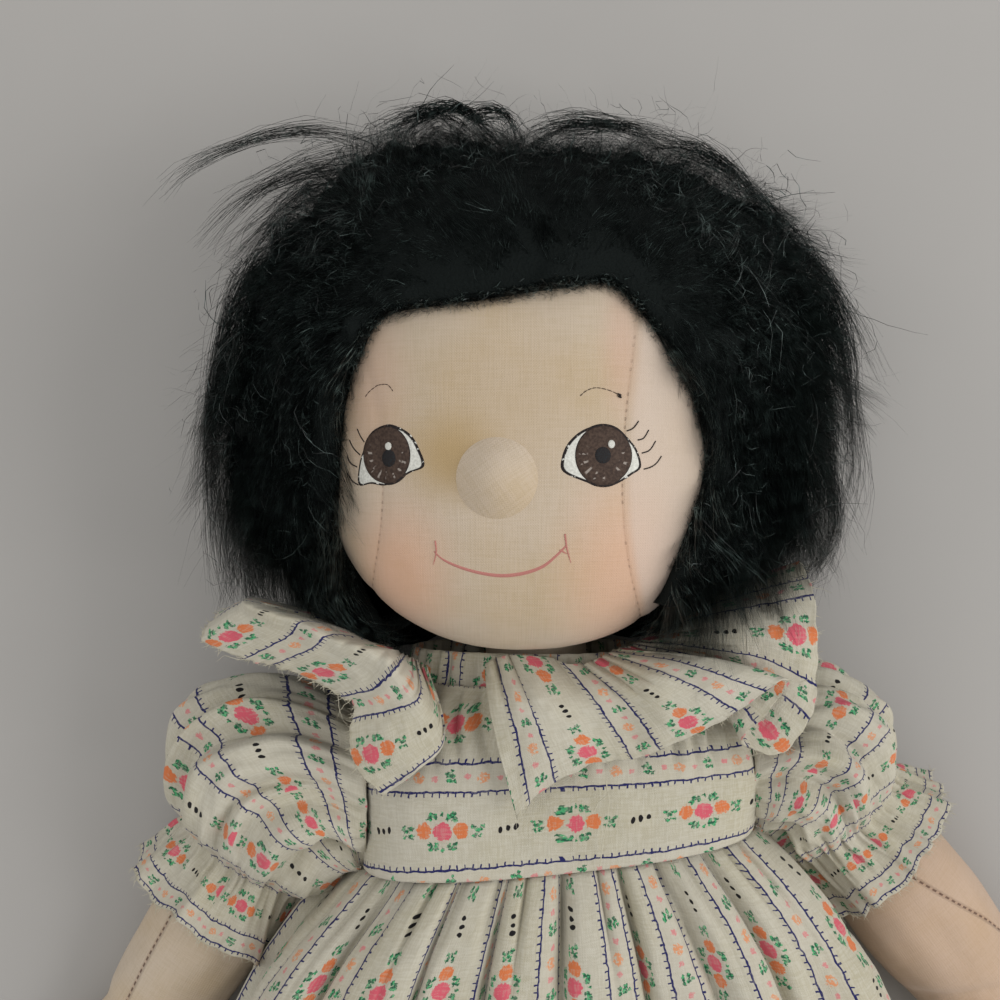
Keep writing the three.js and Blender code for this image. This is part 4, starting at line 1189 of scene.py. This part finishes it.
def limb(place, start, end, width, depth, height, floor, columns=72, rows=90, crease=0.35, dent=None):
    """A stuffed tube along -Y with round ends. The sizes are functions of how far along it is."""

    def point(u, v):
        rounding = (1 - (1 - min(1, v * 7)) ** 2) ** 0.5 * (1 - (1 - min(1, (1 - v) * 7)) ** 2) ** 0.5
        along = mix(start, end, v)
        angle = 2 * math.pi * u
        puff = crease * ripple(along * 0.06, 3 * math.sin(angle), 3 * math.cos(angle)) * 1.5
        puff -= dent(along, angle) if dent else 0
        across = (width(along) + puff) * rounding * math.sin(angle)
        up = height(along) + (depth(along) + puff) * rounding * math.cos(angle)
        return place @ Vector((across, -along, max(up, floor(along))))

    def flat(u, v):
        return ((u if u < 0.5 else u - 1) * 2 * math.pi * width(mix(start, end, v)), mix(start, end, v))

    return surface(columns, rows, point, flat, joined=True)


def lying(radius, length, widths, depths, rest, cloth, past, over):
    """A limb's half width, half depth, middle and floor, where past a place it comes down off cloth, over a length."""

    def floor(d):
        return mix(cloth, 0, smooth((d - past) / over)) - rest

    def width(d):
        return radius * profile(widths, max(0, d) / length)

    def depth(d):
        return radius * profile(depths, max(0, d) / length)

    def middle(d):
        return mix(0, floor(d) + depth(d) * 0.97, smooth(max(0, d) / length * 3))

    return width, depth, middle, floor


class DOLL_OT_body(bpy.types.Operator):
    """Stuff the torso, neck, seat, arms and legs"""

    bl_idname = "doll.body"
    bl_label = "Body"

    def execute(self, context):
        cloth = body_cloth("body cloth")
        torso = limb(
            Matrix.Translation((0, 9.7, 0)), 0.4, 128.6,
            lambda d: 45 * profile(TORSO_WIDTH_SHARES, d / TORSO_LENGTH),
            lambda d: 27 * profile(TORSO_DEPTH_SHARES, d / TORSO_LENGTH) - 0.4,
            lambda d: TORSO_MID, lambda d: 4.7, columns=96,
        )
        made = piece("torso_cloth", torso, cloth, "torso", ("torso_skin", "torso_filling"))

        def neck_round(d):
            return NECK_RADIUS * min(1, (1 - max(0, 1 - d / NECK_RADIUS) ** 2) ** 0.5 + 0.02)

        place = Matrix.Translation((-6, 37.8, 40))
        neck = limb(
            place, 0, 27.6, neck_round, neck_round, lambda d: 0, lambda d: -20, columns=48, rows=40, crease=0
        )
        piece("neck_cloth", neck, cloth, "neck", ("neck_stem",))
        seat = limb(
            Matrix.Translation((0, -120.2, 21.5)), 0, 33, lambda d: 3.6,
            lambda d: 16.5 * max(0.05, 1 - ((d - 15) / 18.5) ** 2) ** 0.5,
            lambda d: 0, lambda d: -18.5, columns=40, rows=40, crease=0,
        )
        piece("seat_cloth", seat, cloth, "lap", ("seat_gusset",))
        for side, sign in SIDES.items():
            self.arm(side, sign)
            self.leg(side, cloth)
        return {"FINISHED"}

    def arm(self, side, sign):
        radius, length = in_mm("arm_radius"), in_mm("arm_length")
        wrist = 1 - HAND_LENGTH / length
        widths = [(0, 1), (0.4, 1), (0.66, 0.88), (wrist, 0.8), (0.84, 1.08), (1, 0.98)]
        depths = [(0, 1), (0.4, 0.98), (0.66, 0.84), (wrist, 0.74), (0.84, 0.66), (1, 0.5)]
        rest = ARM_PIVOTS[side][0].z

        def dent(d, angle):
            """Where the arm is pinched past the sleeve, and where it is stuffed wider."""
            if side == "right":
                return -0.8 * math.exp(-(((d - 85) / 25) ** 2))
            pinch = 2.4 * math.exp(-(((d - 99 - 9 * math.sin(angle)) / 3.5) ** 2))
            pinch *= smooth(math.cos(angle) + 0.3)
            return pinch - 2.2 * abs(math.sin(angle)) * math.exp(-(((d - 78) / 24) ** 2))

        place = arm_place(side)
        shape = lying(radius, length, widths, depths, rest, 2.9, 64, 21)
        arm = limb(place, -radius, length, *shape, rows=110, dent=dent)
        root = Matrix.Translation((-sign * radius * 0.5, HAND_LENGTH * 0.9 - length, radius / 2 - rest))
        thumb_place = place @ root @ Matrix.Rotation(-sign * THUMB_ANGLE, 4, "Z")
        thumb = limb(
            thumb_place, 0, 24, lambda d: 6.5, lambda d: 5.8, lambda d: 0, lambda d: -8.7, 40, 40, 0.1
        )
        seam = (1.7, 0.36, 51.0) if side == "left" else (-12.0, 0.1, 60.0)
        # The left arm's tint is pinker cloth with painted shade over it
        cloth = body_cloth(f"{side} arm cloth", seam=seam, tint="pinker_and_shaded_arm" if side == "left" else None)
        self.stuffed(f"{side}_arm", join(arm, thumb), cloth)

    def leg(self, side, cloth):
        radius, length = in_mm("leg_radius"), in_mm("leg_length")
        widths = [(0, 1), (0.2, 1.06), (0.5, 0.98), (0.8, 0.84), (1, 0.86)]
        depths = [(0, 1), (0.2, 0.99), (0.5, 0.96), (0.8, 0.84), (1, 0.86)]
        rest = LEG_PIVOTS[side].z
        place = leg_place(side)
        shape = lying(radius, length, widths, depths, rest, 2.5, 40, 19)
        leg = limb(place, -radius, length - 3.5, *shape, rows=110)
        heel = Matrix.Translation((0, FOOT_RADIUS - length, -rest))
        foot_place = place @ heel @ Matrix.Rotation(math.radians(-90), 4, "X")
        foot = limb(
            foot_place, 0, FOOT_HEIGHT,
            lambda d: FOOT_RADIUS * profile(FOOT_WIDTH_SHARES, d / FOOT_HEIGHT),
            lambda d: FOOT_RADIUS * profile(FOOT_DEPTH_SHARES, d / FOOT_HEIGHT),
            lambda d: 0, lambda d: -FOOT_HEIGHT, 56, 50, 0.15,
        )
        self.stuffed(f"{side}_leg", join(leg, foot), cloth)

    def stuffed(self, body, mesh, cloth):
        """A limb's cloth, in place of its packed skin and filling."""
        made = piece(f"{body}_cloth", mesh, cloth, body, (f"{body}_skin", f"{body}_filling"))


# Dress

BODICE_TOP = 15.0
BODICE_FRONT = 67.0
NECK_HALF_WIDTH = 27.0


def waist_line(x):
    """Height of the waist seam across the front, a little askew as it was sewn."""
    return -31.4 + 0.105 * x + 0.0006 * x * x


def bodice_point(degrees, y, wrinkle=0.0):
    """A point of the bodice at an angle round it and a height up the doll."""
    down = (BODICE_TOP - y) / (BODICE_TOP + 29)
    half_width = profile([(0, NECK_HALF_WIDTH + 10), (0.18, 48), (0.4, 53.5), (0.7, 55), (1, 54)], down)
    front = profile([(0, 62.5), (0.25, 65.5), (0.5, BODICE_FRONT), (1, BODICE_FRONT)], down)
    angle = math.radians(degrees)
    rise = front - TORSO_MID if math.cos(angle) > 0 else TORSO_MID + 3
    x = half_width * signed_power(math.sin(angle), 0.55)
    z = TORSO_MID + rise * signed_power(math.cos(angle), 0.55)
    away = Vector((math.sin(angle), 0, math.cos(angle)))
    return Vector((x, y, z)) + away * wrinkle


def bodice_wrinkle(x, y):
    """Gathers below the neck seam, pinches beside the armholes and slack over the chest."""
    gathers = pleat(x / 6.5 + 0.8 * ripple(x * 0.05, y * 0.04)) * 3.2 * smooth((y + 10) / 20)
    slack = 1.3 * ripple(x * 0.04, y * 0.05, 3.0) + 0.5 * ripple(x * 0.12 + y * 0.05, y * 0.1)
    pinch = 1.6 * ripple(x * 0.05, y * 0.11 + x * 0.04, 8.0) * smooth((abs(x) - 22) / 22)
    return (gathers * smooth((17.5 - y) / 7) + slack + pinch) * smooth((y + 31) / 6)


# Loose threads on the bodice, by pixels of the photograph and a height
STRAY_THREADS = [
    [(606, 781, 69.5), (609, 800, 70), (608, 820, 69.8), (603, 840, 69.6), (600, 866, 69)],
    [(608, 795, 69.8), (598, 803, 70.2), (594, 812, 69.8)],
]


def seen_lines(lines):
    """Lines of points in millimetres, from pixels of the photograph and heights."""
    return [[seen(*at) for at in line] for line in lines]


class DOLL_OT_bodice(bpy.types.Operator):
    """Sew the bodice's front and its two lapped back panels, with the tape between them"""

    bl_idname = "doll.bodice"
    bl_label = "Bodice"

    def execute(self, context):
        wall = in_mm("dress_cloth")
        cotton = printed_cotton("bodice cotton", 5.0)

        measured = Measured(lambda k: bodice_point(mix(-80, 80, k), -18))

        def front(u, v):
            degrees = mix(-80, 80, measured.share_at(u))
            seam = waist_line(54 * signed_power(math.sin(math.radians(degrees)), 0.55))
            y = mix(seam, BODICE_TOP + 0.5, v)
            flat = bodice_point(degrees, y)
            return bodice_point(degrees, y, bodice_wrinkle(flat.x, y))

        def cloth(u, v):
            x = measured.whole * (u - 0.5) - 3.0
            return x, mix(waist_line(min(54, max(-54, x))), 17, v) - 0.1 * x * (1 - v)

        mesh = surface(220, 72, front, cloth)
        made = piece("bodice_front_cloth", mesh, cotton, "torso", ("bodice_front",), wall)

        for side, sign in SIDES.items():
            lift = 4.6 - wall - 0.4 if side == "left" else wall + 0.05

            def back(u, v):
                reach = min(1, u / 0.8)
                y = mix(-29, BODICE_TOP, v)
                point = bodice_point(mix(94, 180, reach), y, 0.4 * ripple(u * 5, y * 0.06) * (1 - reach))
                lapped = max(0, (u - 0.8) / 0.2) * 5
                height = max(point.z, 0.9)
                height = mix(height, lift, smooth((u - 0.45) / 0.25)) if side == "left" else height
                return Vector((sign * (point.x - lapped), y, height))

            mesh = surface(90, 50, back, lambda u, v: (sign * 78 * (1 - u), mix(-30.5, 17, v)))
            if sign > 0:
                bmesh.ops.reverse_faces(mesh, faces=mesh.faces)
            panel = f"bodice_back_{side}"
            made = piece(f"{panel}_cloth", mesh, cotton, "torso", (panel,), wall)

        tape = node_cloth("tape", "white_cotton", "white_shade", 2.4, 0.3)
        for name in ("hook_tape", "loop_tape"):
            dress_node(name, tape)
        fray = embroidery("stray thread", "fray", "cream")
        threads("stray_thread", seen_lines(STRAY_THREADS), 0.14, fray, "torso", tapers=False)
        return {"FINISHED"}


def dress_node(name, material):
    """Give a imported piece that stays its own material."""
    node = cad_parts[name]
    node.data.materials.clear()
    node.data.materials.append(material)


# The collar frills as ribs, by pixels of the photograph and a height: each runs from the neck seam over its rise to the
# raw edge, and the last ones of a frill run under the hair
COLLAR_RIBS = {
    "left": [
        [(486, 664, 63), (489, 700, 71), (500, 755, 72.5), (517, 820, 71)],
        [(500, 657, 64), (512, 700, 74), (524, 745, 75), (533, 799, 71)],
        [(516, 655, 65), (540, 700, 75), (558, 738, 75), (573, 771, 71.5)],
        [(545, 658, 65), (572, 695, 73), (594, 728, 73), (614, 760, 71)],
        [(570, 664, 65), (598, 695, 73), (620, 725, 73.5), (640, 757, 72)],
        [(586, 663, 65), (622, 690, 75), (648, 717, 76), (667, 745, 73)],
        [(597, 659, 64), (640, 683, 77), (674, 706, 78), (702, 730, 75)],
        [(606, 655, 63), (658, 672, 77), (702, 690, 78.5), (737, 711, 76)],
        [(613, 652, 61), (676, 659, 75), (728, 672, 77), (772, 686, 76)],
        [(618, 650, 60), (684, 656, 73), (742, 666, 74), (789, 682, 74)],
        [(621, 649, 58), (680, 662, 70), (732, 682, 70), (768, 712, 70)],
        [(624, 648, 57), (676, 668, 67), (716, 700, 67), (742, 742, 69)],
        [(627, 647, 56), (684, 672, 64), (736, 708, 63), (776, 755, 66)],
        [(631, 646, 54), (698, 664, 63), (756, 690, 63), (802, 732, 64)],
        [(635, 644, 52), (704, 652, 64), (764, 668, 66), (815, 702, 64)],
        [(639, 642, 50), (704, 641, 65), (764, 646, 67), (816, 662, 63)],
        [(643, 640, 47), (702, 628, 64), (762, 623, 66), (816, 622, 61)],
        [(646, 637, 43), (700, 616, 60), (758, 602, 61), (813, 590, 55)],
        [(648, 633, 38), (694, 604, 50), (748, 580, 48), (800, 562, 42)],
    ],
    "right": [
        [(426, 668, 62), (445, 738, 71), (416, 772, 73), (383, 796, 70)],
        [(424, 666, 62), (438, 722, 74), (400, 752, 76), (356, 768, 71)],
        [(420, 663, 61), (428, 706, 76), (392, 726, 76), (349, 738, 71)],
        [(414, 659, 60), (413, 689, 78), (385, 702, 77), (354, 706, 72)],
        [(406, 655, 58), (398, 668, 79), (374, 690, 77), (342, 697, 71)],
        [(398, 651, 55), (383, 652, 79), (362, 675, 77), (326, 687, 70)],
        [(392, 648, 52), (363, 645, 78), (340, 662, 76), (300, 675, 69)],
        [(388, 645, 48), (336, 636, 77), (312, 650, 75), (274, 666, 68)],
        [(386, 642, 44), (307, 620, 75), (284, 636, 73), (241, 658, 66)],
        [(384, 640, 40), (268, 608, 72), (246, 620, 70), (202, 640, 63)],
        [(383, 636, 36), (262, 603, 68), (238, 604, 66), (212, 620, 58)],
        [(382, 631, 32), (268, 600, 56), (246, 600, 52), (226, 608, 46)],
    ],
}


def frill_point(ribs, u, v):
    """A point of a frill from the gathers at its seam to its raw edge, with slack between the ribs."""
    point = through([through(rib, v) for rib in ribs], u)
    gathers = pleat(u * 17 + 0.9 * ripple(u * 6, 1.0)) * 3.4 * (1 - smooth((v - 0.05) / 0.5))
    folds = 1.5 * ripple(u * 11 + v * 1.5, v * 1.2, 4.0) * smooth(v / 0.3)
    x, y = point.x, point.y
    crumple = 0.7 * ripple(x * 0.12, y * 0.12, 5.0) + 0.35 * ripple(x * 0.3, y * 0.3, 2.0)
    edge = smooth((v - 0.82) / 0.18)
    point.z += gathers + folds + crumple + edge * 0.6 * ripple(u * 46, 8.0)
    point += Vector((ripple(u * 40, 2.0), ripple(u * 40, 6.0), 0)) * edge * 0.7
    return point


class DOLL_OT_collar(bpy.types.Operator):
    """Gather the neck band and the two collar frills, with their frayed raw edges"""

    bl_idname = "doll.collar"
    bl_label = "Collar"

    def execute(self, context):
        wall = in_mm("dress_cloth")
        width = in_mm("frill_width")
        cotton = printed_cotton("collar cotton")

        def band(u, v):
            angle = 2 * math.pi * u
            gathers = pleat(u * 34 + 0.5 * ripple(6 * math.sin(angle), 6 * math.cos(angle)))
            gathers *= 1.7 * math.sin(math.pi * mix(0.12, 0.9, v))
            reach = 1.5 * v - gathers
            x = -3 + (NECK_HALF_WIDTH + (1.5 if math.sin(angle) > 0 else 11.5) - reach) * math.sin(angle)
            z = 40 + (22 - reach) * math.cos(angle)
            return Vector((x, 14.5 + 9.5 * v, z))

        mesh = surface(400, 12, band, lambda u, v: (12 * v, 300 * u), joined=True)
        made = piece("neck_band_cloth", mesh, cotton, "torso", ("neck_band",), wall)

        chance = random.Random(7)
        frays = []
        for side in SIDES:
            ribs = seen_lines(COLLAR_RIBS[side])
            edge = Measured(lambda k: through([rib[2].lerp(rib[3], 0.5) for rib in ribs], k))
            first = 9.0 if side == "left" else 24.0

            def cloth(u, v):
                return width * v - 3.0, edge.length_at(u) - first

            mesh = surface(300, 56, lambda u, v: frill_point(ribs, u, v), cloth)
            frill = f"collar_frill_{side}"
            made = piece(f"{frill}_cloth", mesh, cotton, "torso", (frill,), wall)
            cut = (0.15 if side == "left" else 0.1, width * MM)
            for _ in range(260):
                u = chance.random()
                start = frill_point(ribs, u, 0.99)
                way = start - frill_point(ribs, u, 0.9) + stray(chance, 2.2)
                frays.append(curl(chance, start, way, chance.uniform(0.6, 2.6), 0.5, 3))
            for _ in range(10):
                u = chance.random()
                start = frill_point(ribs, u, 0.99)
                frays.append(curl(chance, start, stray(chance, 1), chance.uniform(5, 12), 0.6, 8, 0.05))
        fray = embroidery("fray thread", "fray", "cream")
        threads("collar_fray", frays, 0.07, fray, "torso")
        return {"FINISHED"}


SLEEVE_ELASTIC = 0.72
# Rings of a sleeve: share of its cloth, middle, degrees that it heads below level, half across, half high
SLEEVE_RINGS = {
    "left": [
        (0, (53.5, -10, 32), 0, 18, 25),
        (0.2, (63, -7, 32), 24, 25, 28),
        (0.42, (74, -11, 31), 44, 23.5, 29),
        (0.6, (79.5, -20, 27), 48, 21.8, 26),
        (SLEEVE_ELASTIC, (83.5, -27, 22), 47, 20.0, 20.5),
        (0.8, (87.5, -30.5, 21), 44, 21.2, 21),
        (1, (97.5, -38, 20.4), 39, 24.5, 24),
    ],
    "right": [
        (0, (-53.5, -17, 32), 0, 21, 25),
        (0.2, (-67, -12, 32), 30, 29, 28),
        (0.42, (-81, -17, 31), 50, 31.5, 29.5),
        (0.6, (-88, -31, 27), 56, 27, 27),
        (SLEEVE_ELASTIC, (-89.5, -38.5, 22), 57, 20.8, 20.5),
        (0.8, (-93, -44, 21), 57, 22.5, 21),
        (1, (-99.5, -55, 20.4), 57, 26.5, 24),
    ],
}


def sleeve_point(side, u, v):
    """A sleeve's cloth round the arm, from the armhole through the puff and the elastic to the raw edge."""
    sign, rings = SIDES[side], SLEEVE_RINGS[side]
    shares = [ring[0] for ring in rings]
    middle = Vector([profile(list(zip(shares, [ring[1][axis] for ring in rings])), v) for axis in range(3)])
    heading, across, high = [profile(list(zip(shares, [ring[k] for ring in rings])), v) for k in (2, 3, 4)]
    angle, turn = 2 * math.pi * u, math.radians(heading)
    ring = (3 * math.sin(angle), 3 * math.cos(angle))
    seed = 3.0 * sign
    past = max(0.0, (v - SLEEVE_ELASTIC) / (1 - SLEEVE_ELASTIC))
    close = max(0.0, 1 - abs(v - SLEEVE_ELASTIC) / 0.17)
    body = math.sin(math.pi * min(1, v / SLEEVE_ELASTIC))
    drift = 0.9 * ripple(ring[0] * 0.9, ring[1] * 0.9, seed + 1) + 0.5 * v * sign
    long_folds = pleat(u * 9 + drift) * 7.5 * body ** 0.6
    fine = pleat(u * 24 + 0.8 * ripple(ring[0] * 2, ring[1] * 2, seed)) * 2.4 * close ** 0.7
    shoulder = pleat(u * 15 + 0.6 * ripple(*ring, seed + 2)) * 2.0 * max(0.0, 1 - v / 0.25) * smooth(v / 0.04)
    flutes = math.sin(2 * math.pi * (u * 8 + 0.5 * ripple(*ring, seed + 5))) * 2.8 * past ** 0.7
    slack = 2.4 * ripple(ring[0] + v * 4, ring[1] - v * 3, seed)
    slack += 1.5 * ripple(ring[0] * 2.4, ring[1] * 2.4 + v * 8, seed)
    fold = long_folds + fine + shoulder + flutes + body * slack + 0.4 * ripple(ring[0] * 5, ring[1] * 5, v * 12)
    fold = max(fold, -3.2 * body - 1.2)
    outward = Vector((sign * math.sin(turn), math.cos(turn), 0))
    along = Vector((sign * math.cos(turn), -math.sin(turn), 0))
    point = middle + outward * ((across + fold) * math.sin(angle))
    point += Vector((0, 0, (high + fold) * math.cos(angle)))
    point += along * (past * 1.4 * math.cos(2 * math.pi * (u * 8 + 0.2)) + body * 1.2 * ripple(*ring, seed + 9))
    if v < 0.2:
        point.x -= sign * 2.2 * max(0.0, math.cos(angle)) * (1 - v / 0.2)
    point.z = max(point.z, 0.55 + 0.25 * abs(ripple(point.x * 0.1, point.y * 0.1)))
    return point


class DOLL_OT_sleeves(bpy.types.Operator):
    """Puff the two sleeves out of their armholes and gather them on elastic above a raw frill"""

    bl_idname = "doll.sleeves"
    bl_label = "Sleeves"

    def execute(self, context):
        wall = in_mm("dress_cloth")
        around = in_mm("sleeve_round")
        chance = random.Random(19)
        fray = embroidery("cuff fray thread", "fray", "cream")
        elastic = node_cloth("elastic", "white_cotton", "white_shade", 1.6, 0.2)
        for side, sign in SIDES.items():
            cotton = printed_cotton(f"{side} sleeve cotton")

            def flat(u, v):
                return (around * u * sign, 5.4 - 96 * (1 - v))

            mesh = surface(300, 110, lambda u, v: sleeve_point(side, u, v), flat, joined=True)
            made = piece(f"{side}_sleeve_cloth", mesh, cotton, None, (f"{side}_sleeve",), wall)
            start = Vector((sign * 53, -8, 20)) * MM
            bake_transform(made)
            dress_node(f"{side}_cuff_elastic", elastic)
            frays = []
            for _ in range(240):
                u = chance.random()
                start = sleeve_point(side, u, 1)
                way = start - sleeve_point(side, u, 0.94) + stray(chance, 1.6)
                frays.append(curl(chance, start, way, chance.uniform(0.5, 2.4), 0.5, 3))
            threads(f"{side}_cuff_fray", frays, 0.07, fray, f"{side}_arm")
        return {"FINISHED"}


WAIST_HALF_WIDTH, HEM_HALF_WIDTH = 54.5, 130
SKIRT_FLARE = [(0, 0), (0.067, 0.13), (0.147, 0.27), (0.26, 0.42), (0.45, 0.61), (0.7, 0.81), (1, 1)]
# Heights in millimetres from the waist seam to the hem: the crest, the narrow pleats and the folds
SKIRT_CREST = [(0, 66.5), (0.06, 70), (0.16, 72), (0.5, 67), (1, 53)]
FINE_PLEATS = [(0, 2.6), (0.05, 3.2), (0.14, 1.4), (0.3, 0.3), (1, 0)]
SKIRT_FOLDS = [(0, 1.6), (0.06, 4.8), (0.18, 7.2), (0.4, 5.4), (0.7, 3.6), (1, 2.6)]


def off_the_arms(point, gap=1.5):
    """Moves a point of cloth off an arm, over it or in towards the body."""
    for side in SIDES:
        pivot = ARM_PIVOTS[side][0]
        way = arm_place(side).to_3x3() @ Vector((0, -1, 0))
        along = (point - pivot).dot(way)
        if 0 < along < in_mm("arm_length"):
            away = point - pivot - way * along
            least = in_mm("arm_radius") * mix(1, 0.9, along / in_mm("arm_length")) + gap
            if away.length < least:
                point = point + away.normalized() * (least - away.length)
    return point


def skirt_section(u, v):
    """The skirt's smooth shape, before its folds."""
    angle = 2 * math.pi * u
    up = math.cos(angle)
    half_width = mix(WAIST_HALF_WIDTH, HEM_HALF_WIDTH, profile(SKIRT_FLARE, v))
    height = profile(SKIRT_CREST, v)
    x = half_width * signed_power(math.sin(angle), 0.8)
    middle = mix(TORSO_MID, 40, math.sin(math.pi * min(1, v * 1.6)))
    z = middle + (height - middle if up > 0 else middle) * signed_power(up, 0.7)
    seam = waist_line(x) if up > 0 else -29.5
    return Vector((x, mix(seam, -29 - in_mm("skirt_length"), v), z))


def skirt_point(measured, u, v):
    """The gathered skirt: narrow pleats at the waist that run together into folds towards the hem."""
    u = measured.share_at(u)
    angle = 2 * math.pi * u
    up = math.cos(angle)
    point = skirt_section(u, v)
    x, y = point.x, point.y
    root = skirt_section(u, 0).x
    turns = root / 8.2 + 1.0 * ripple(root * 0.09, up, 2.0)
    fine = crease(turns) * profile(FINE_PLEATS, v) if up > 0 else 0.0
    turns = root / 13.6 + 0.9 * ripple(root * 0.075, up, 5.0) + 0.3 * ripple(root * 0.05, y * 0.014, 4.0)
    middle = crease(turns) * profile(SKIRT_FOLDS, v) * (1 if up > 0 else 0.3)
    wide = (math.cos(angle * 12) - 1) * 3.25 * smooth(v * 2.2 + 0.08) * signed_power(max(up, 0.0), 0.5)
    crumple = 1.3 * ripple(x * 0.05, y * 0.05, 1.0) + 0.6 * ripple(x * 0.15, y * 0.12, 6.0)
    push = fine + middle + crumple * smooth(v / 0.1)
    away = Vector((math.sin(angle) * 0.8, 0, max(up, 0.0) + 0.15)).normalized()
    if up < 0:
        push *= 0.5 * (1 + up)
    point += away * push + Vector((0, 0, wide))
    point = off_the_arms(point)
    point.z = max(point.z, 0.5 + 0.2 * abs(ripple(x * 0.1, y * 0.1)))
    return point


class DOLL_OT_skirt(bpy.types.Operator):
    """Gather the skirt into the waist seam, and make the drawers under it"""

    bl_idname = "doll.skirt"
    bl_label = "Skirt and drawers"

    def execute(self, context):
        wall = in_mm("dress_cloth")
        length = in_mm("skirt_length")
        cotton = printed_cotton("skirt cotton", 7.0)
        measured = Measured(lambda k: skirt_section(k, 0.15))
        folded = Measured(lambda k: skirt_point(measured, k, 0.22), 1500)

        def cloth(u, v):
            return length * v + 6.0, folded.length_at(u) - (folded.whole if u >= 0.5 else 0)

        mesh = surface(620, 78, lambda u, v: skirt_point(measured, u, v), cloth)
        bmesh.ops.remove_doubles(mesh, verts=mesh.verts, dist=1e-6)
        bmesh.ops.recalc_face_normals(mesh, faces=mesh.faces)
        made = piece("skirt_cloth", mesh, cotton, None, ("skirt",), wall)
        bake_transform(made)

        def drawers(u, v):
            angle = 2 * math.pi * u
            y = -96 - 60 * v
            half_width = 55 * profile([(0, 0.94), (0.5, 0.98), (1, 0.85)], v)
            crest = mix(60, 44.6, smooth(v * 1.1))
            x = half_width * signed_power(math.sin(angle), 0.7)
            z = crest / 2 + crest / 2 * signed_power(math.cos(angle), 0.7)
            round_legs = max(0.0, 22.2 ** 2 - (abs(x) - 24.5) ** 2) ** 0.5
            z = mix(z, 21.5 + math.copysign(round_legs, math.cos(angle)), v ** 3)
            fold = 0.5 * ripple(x * 0.08, y * 0.08)
            return Vector((x, y, max(z - 0.6 + fold * 0.4, 1.5)))

        mesh = surface(160, 40, drawers, lambda u, v: (280 * u, 60 * v), joined=True)
        cloth = plain_cotton("drawers cotton", "white_cotton", "white_shade")
        made = piece("drawers_cloth", mesh, cloth, None, ("drawers",), wall)
        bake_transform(made)
        return {"FINISHED"}


FLOOR_SHADE = (0.55, 0.53, 0.5, 1.0)
# Place in metres, watts and width of each lamp, and the place that both are turned to
LAMPS = {"window": ((1.2, -0.1, 0.85), 12.5, 1.0), "fill": ((-0.8, 0.15, 1.1), 4.5, 1.3)}
LIT_PLACE = Vector((0, 0, 0.03))


class DOLL_OT_stage(bpy.types.Operator):
    """Lay the floor, hang the lights and set the camera straight above the doll"""

    bl_idname = "doll.stage"
    bl_label = "Stage"

    def execute(self, context):
        scene = context.scene
        lens = bpy.data.cameras.new("camera")
        lens.sensor_width = 36
        lens.lens = 36 / (1000 * PIXEL_SLOPE)
        lens.clip_start = 0.01
        camera = bpy.data.objects.new("camera", lens)
        camera.location = EYE_POINT * MM
        scene.collection.objects.link(camera)
        scene.camera = camera

        mesh = bmesh.new()
        bmesh.ops.create_grid(mesh, x_segments=1, y_segments=1, size=2)
        data = bpy.data.meshes.new("floor")
        mesh.to_mesh(data)
        mesh.free()
        shader = Shader("floor", roughness=0.95, specular=0.1)
        grain = shader.noise(shader.place(), 0.02, 2.0)
        shader.paint(grain.between(0.3, 0.7) * 0.06, FLOOR_SHADE, under="floor")
        data.materials.append(shader.finish())
        floor = bpy.data.objects.new("floor", data)
        scene.collection.objects.link(floor)

        for name, (place, watts, across) in LAMPS.items():
            lamp = bpy.data.lights.new(name, "AREA")
            lamp.energy = watts
            lamp.size = across
            made = bpy.data.objects.new(name, lamp)
            made.location = place
            made.rotation_euler = (LIT_PLACE - Vector(place)).to_track_quat("-Z", "Y").to_euler()
            scene.collection.objects.link(made)
        world = bpy.data.worlds.new("room")
        world.use_nodes = True
        background = world.node_tree.nodes["Background"]
        background.inputs["Color"].default_value = (1.0, 1.0, 1.0, 1.0)
        background.inputs["Strength"].default_value = 0.55
        scene.world = world
        scene.view_settings.view_transform = "Standard"
        return {"FINISHED"}


OPERATORS = (
    DOLL_OT_stage,
    DOLL_OT_head,
    DOLL_OT_face,
    DOLL_OT_wig,
    DOLL_OT_body,
    DOLL_OT_bodice,
    DOLL_OT_collar,
    DOLL_OT_sleeves,
    DOLL_OT_skirt,
)


class DOLL_PT_pieces(bpy.types.Panel):
    """Lists the doll's pieces in the order that they are made"""

    bl_idname = "DOLL_PT_pieces"
    bl_label = "Rag doll"
    bl_space_type = "VIEW_3D"
    bl_region_type = "UI"
    bl_category = "Doll"

    def draw(self, context):
        for operator in OPERATORS:
            self.layout.operator(operator.bl_idname)
        for group in (context.scene.doll_sizes, context.scene.doll_colours):
            for name in group.__annotations__:
                self.layout.prop(group, name)


CLASSES = (DollSizes, DollColours, *OPERATORS, DOLL_PT_pieces)


def register():
    for made in CLASSES:
        bpy.utils.register_class(made)
    bpy.types.Scene.doll_sizes = bpy.props.PointerProperty(type=DollSizes)
    bpy.types.Scene.doll_colours = bpy.props.PointerProperty(type=DollColours)


def unregister():
    del bpy.types.Scene.doll_colours
    del bpy.types.Scene.doll_sizes
    for made in reversed(CLASSES):
        bpy.utils.unregister_class(made)


def main():
    register()
    bpy.ops.doll.stage()
    bpy.ops.doll.head()
    bpy.ops.doll.face()
    bpy.ops.doll.wig()
    bpy.ops.doll.body()
    bpy.ops.doll.bodice()
    bpy.ops.doll.collar()
    bpy.ops.doll.sleeves()
    bpy.ops.doll.skirt()


if __name__ == "__main__":
    main()
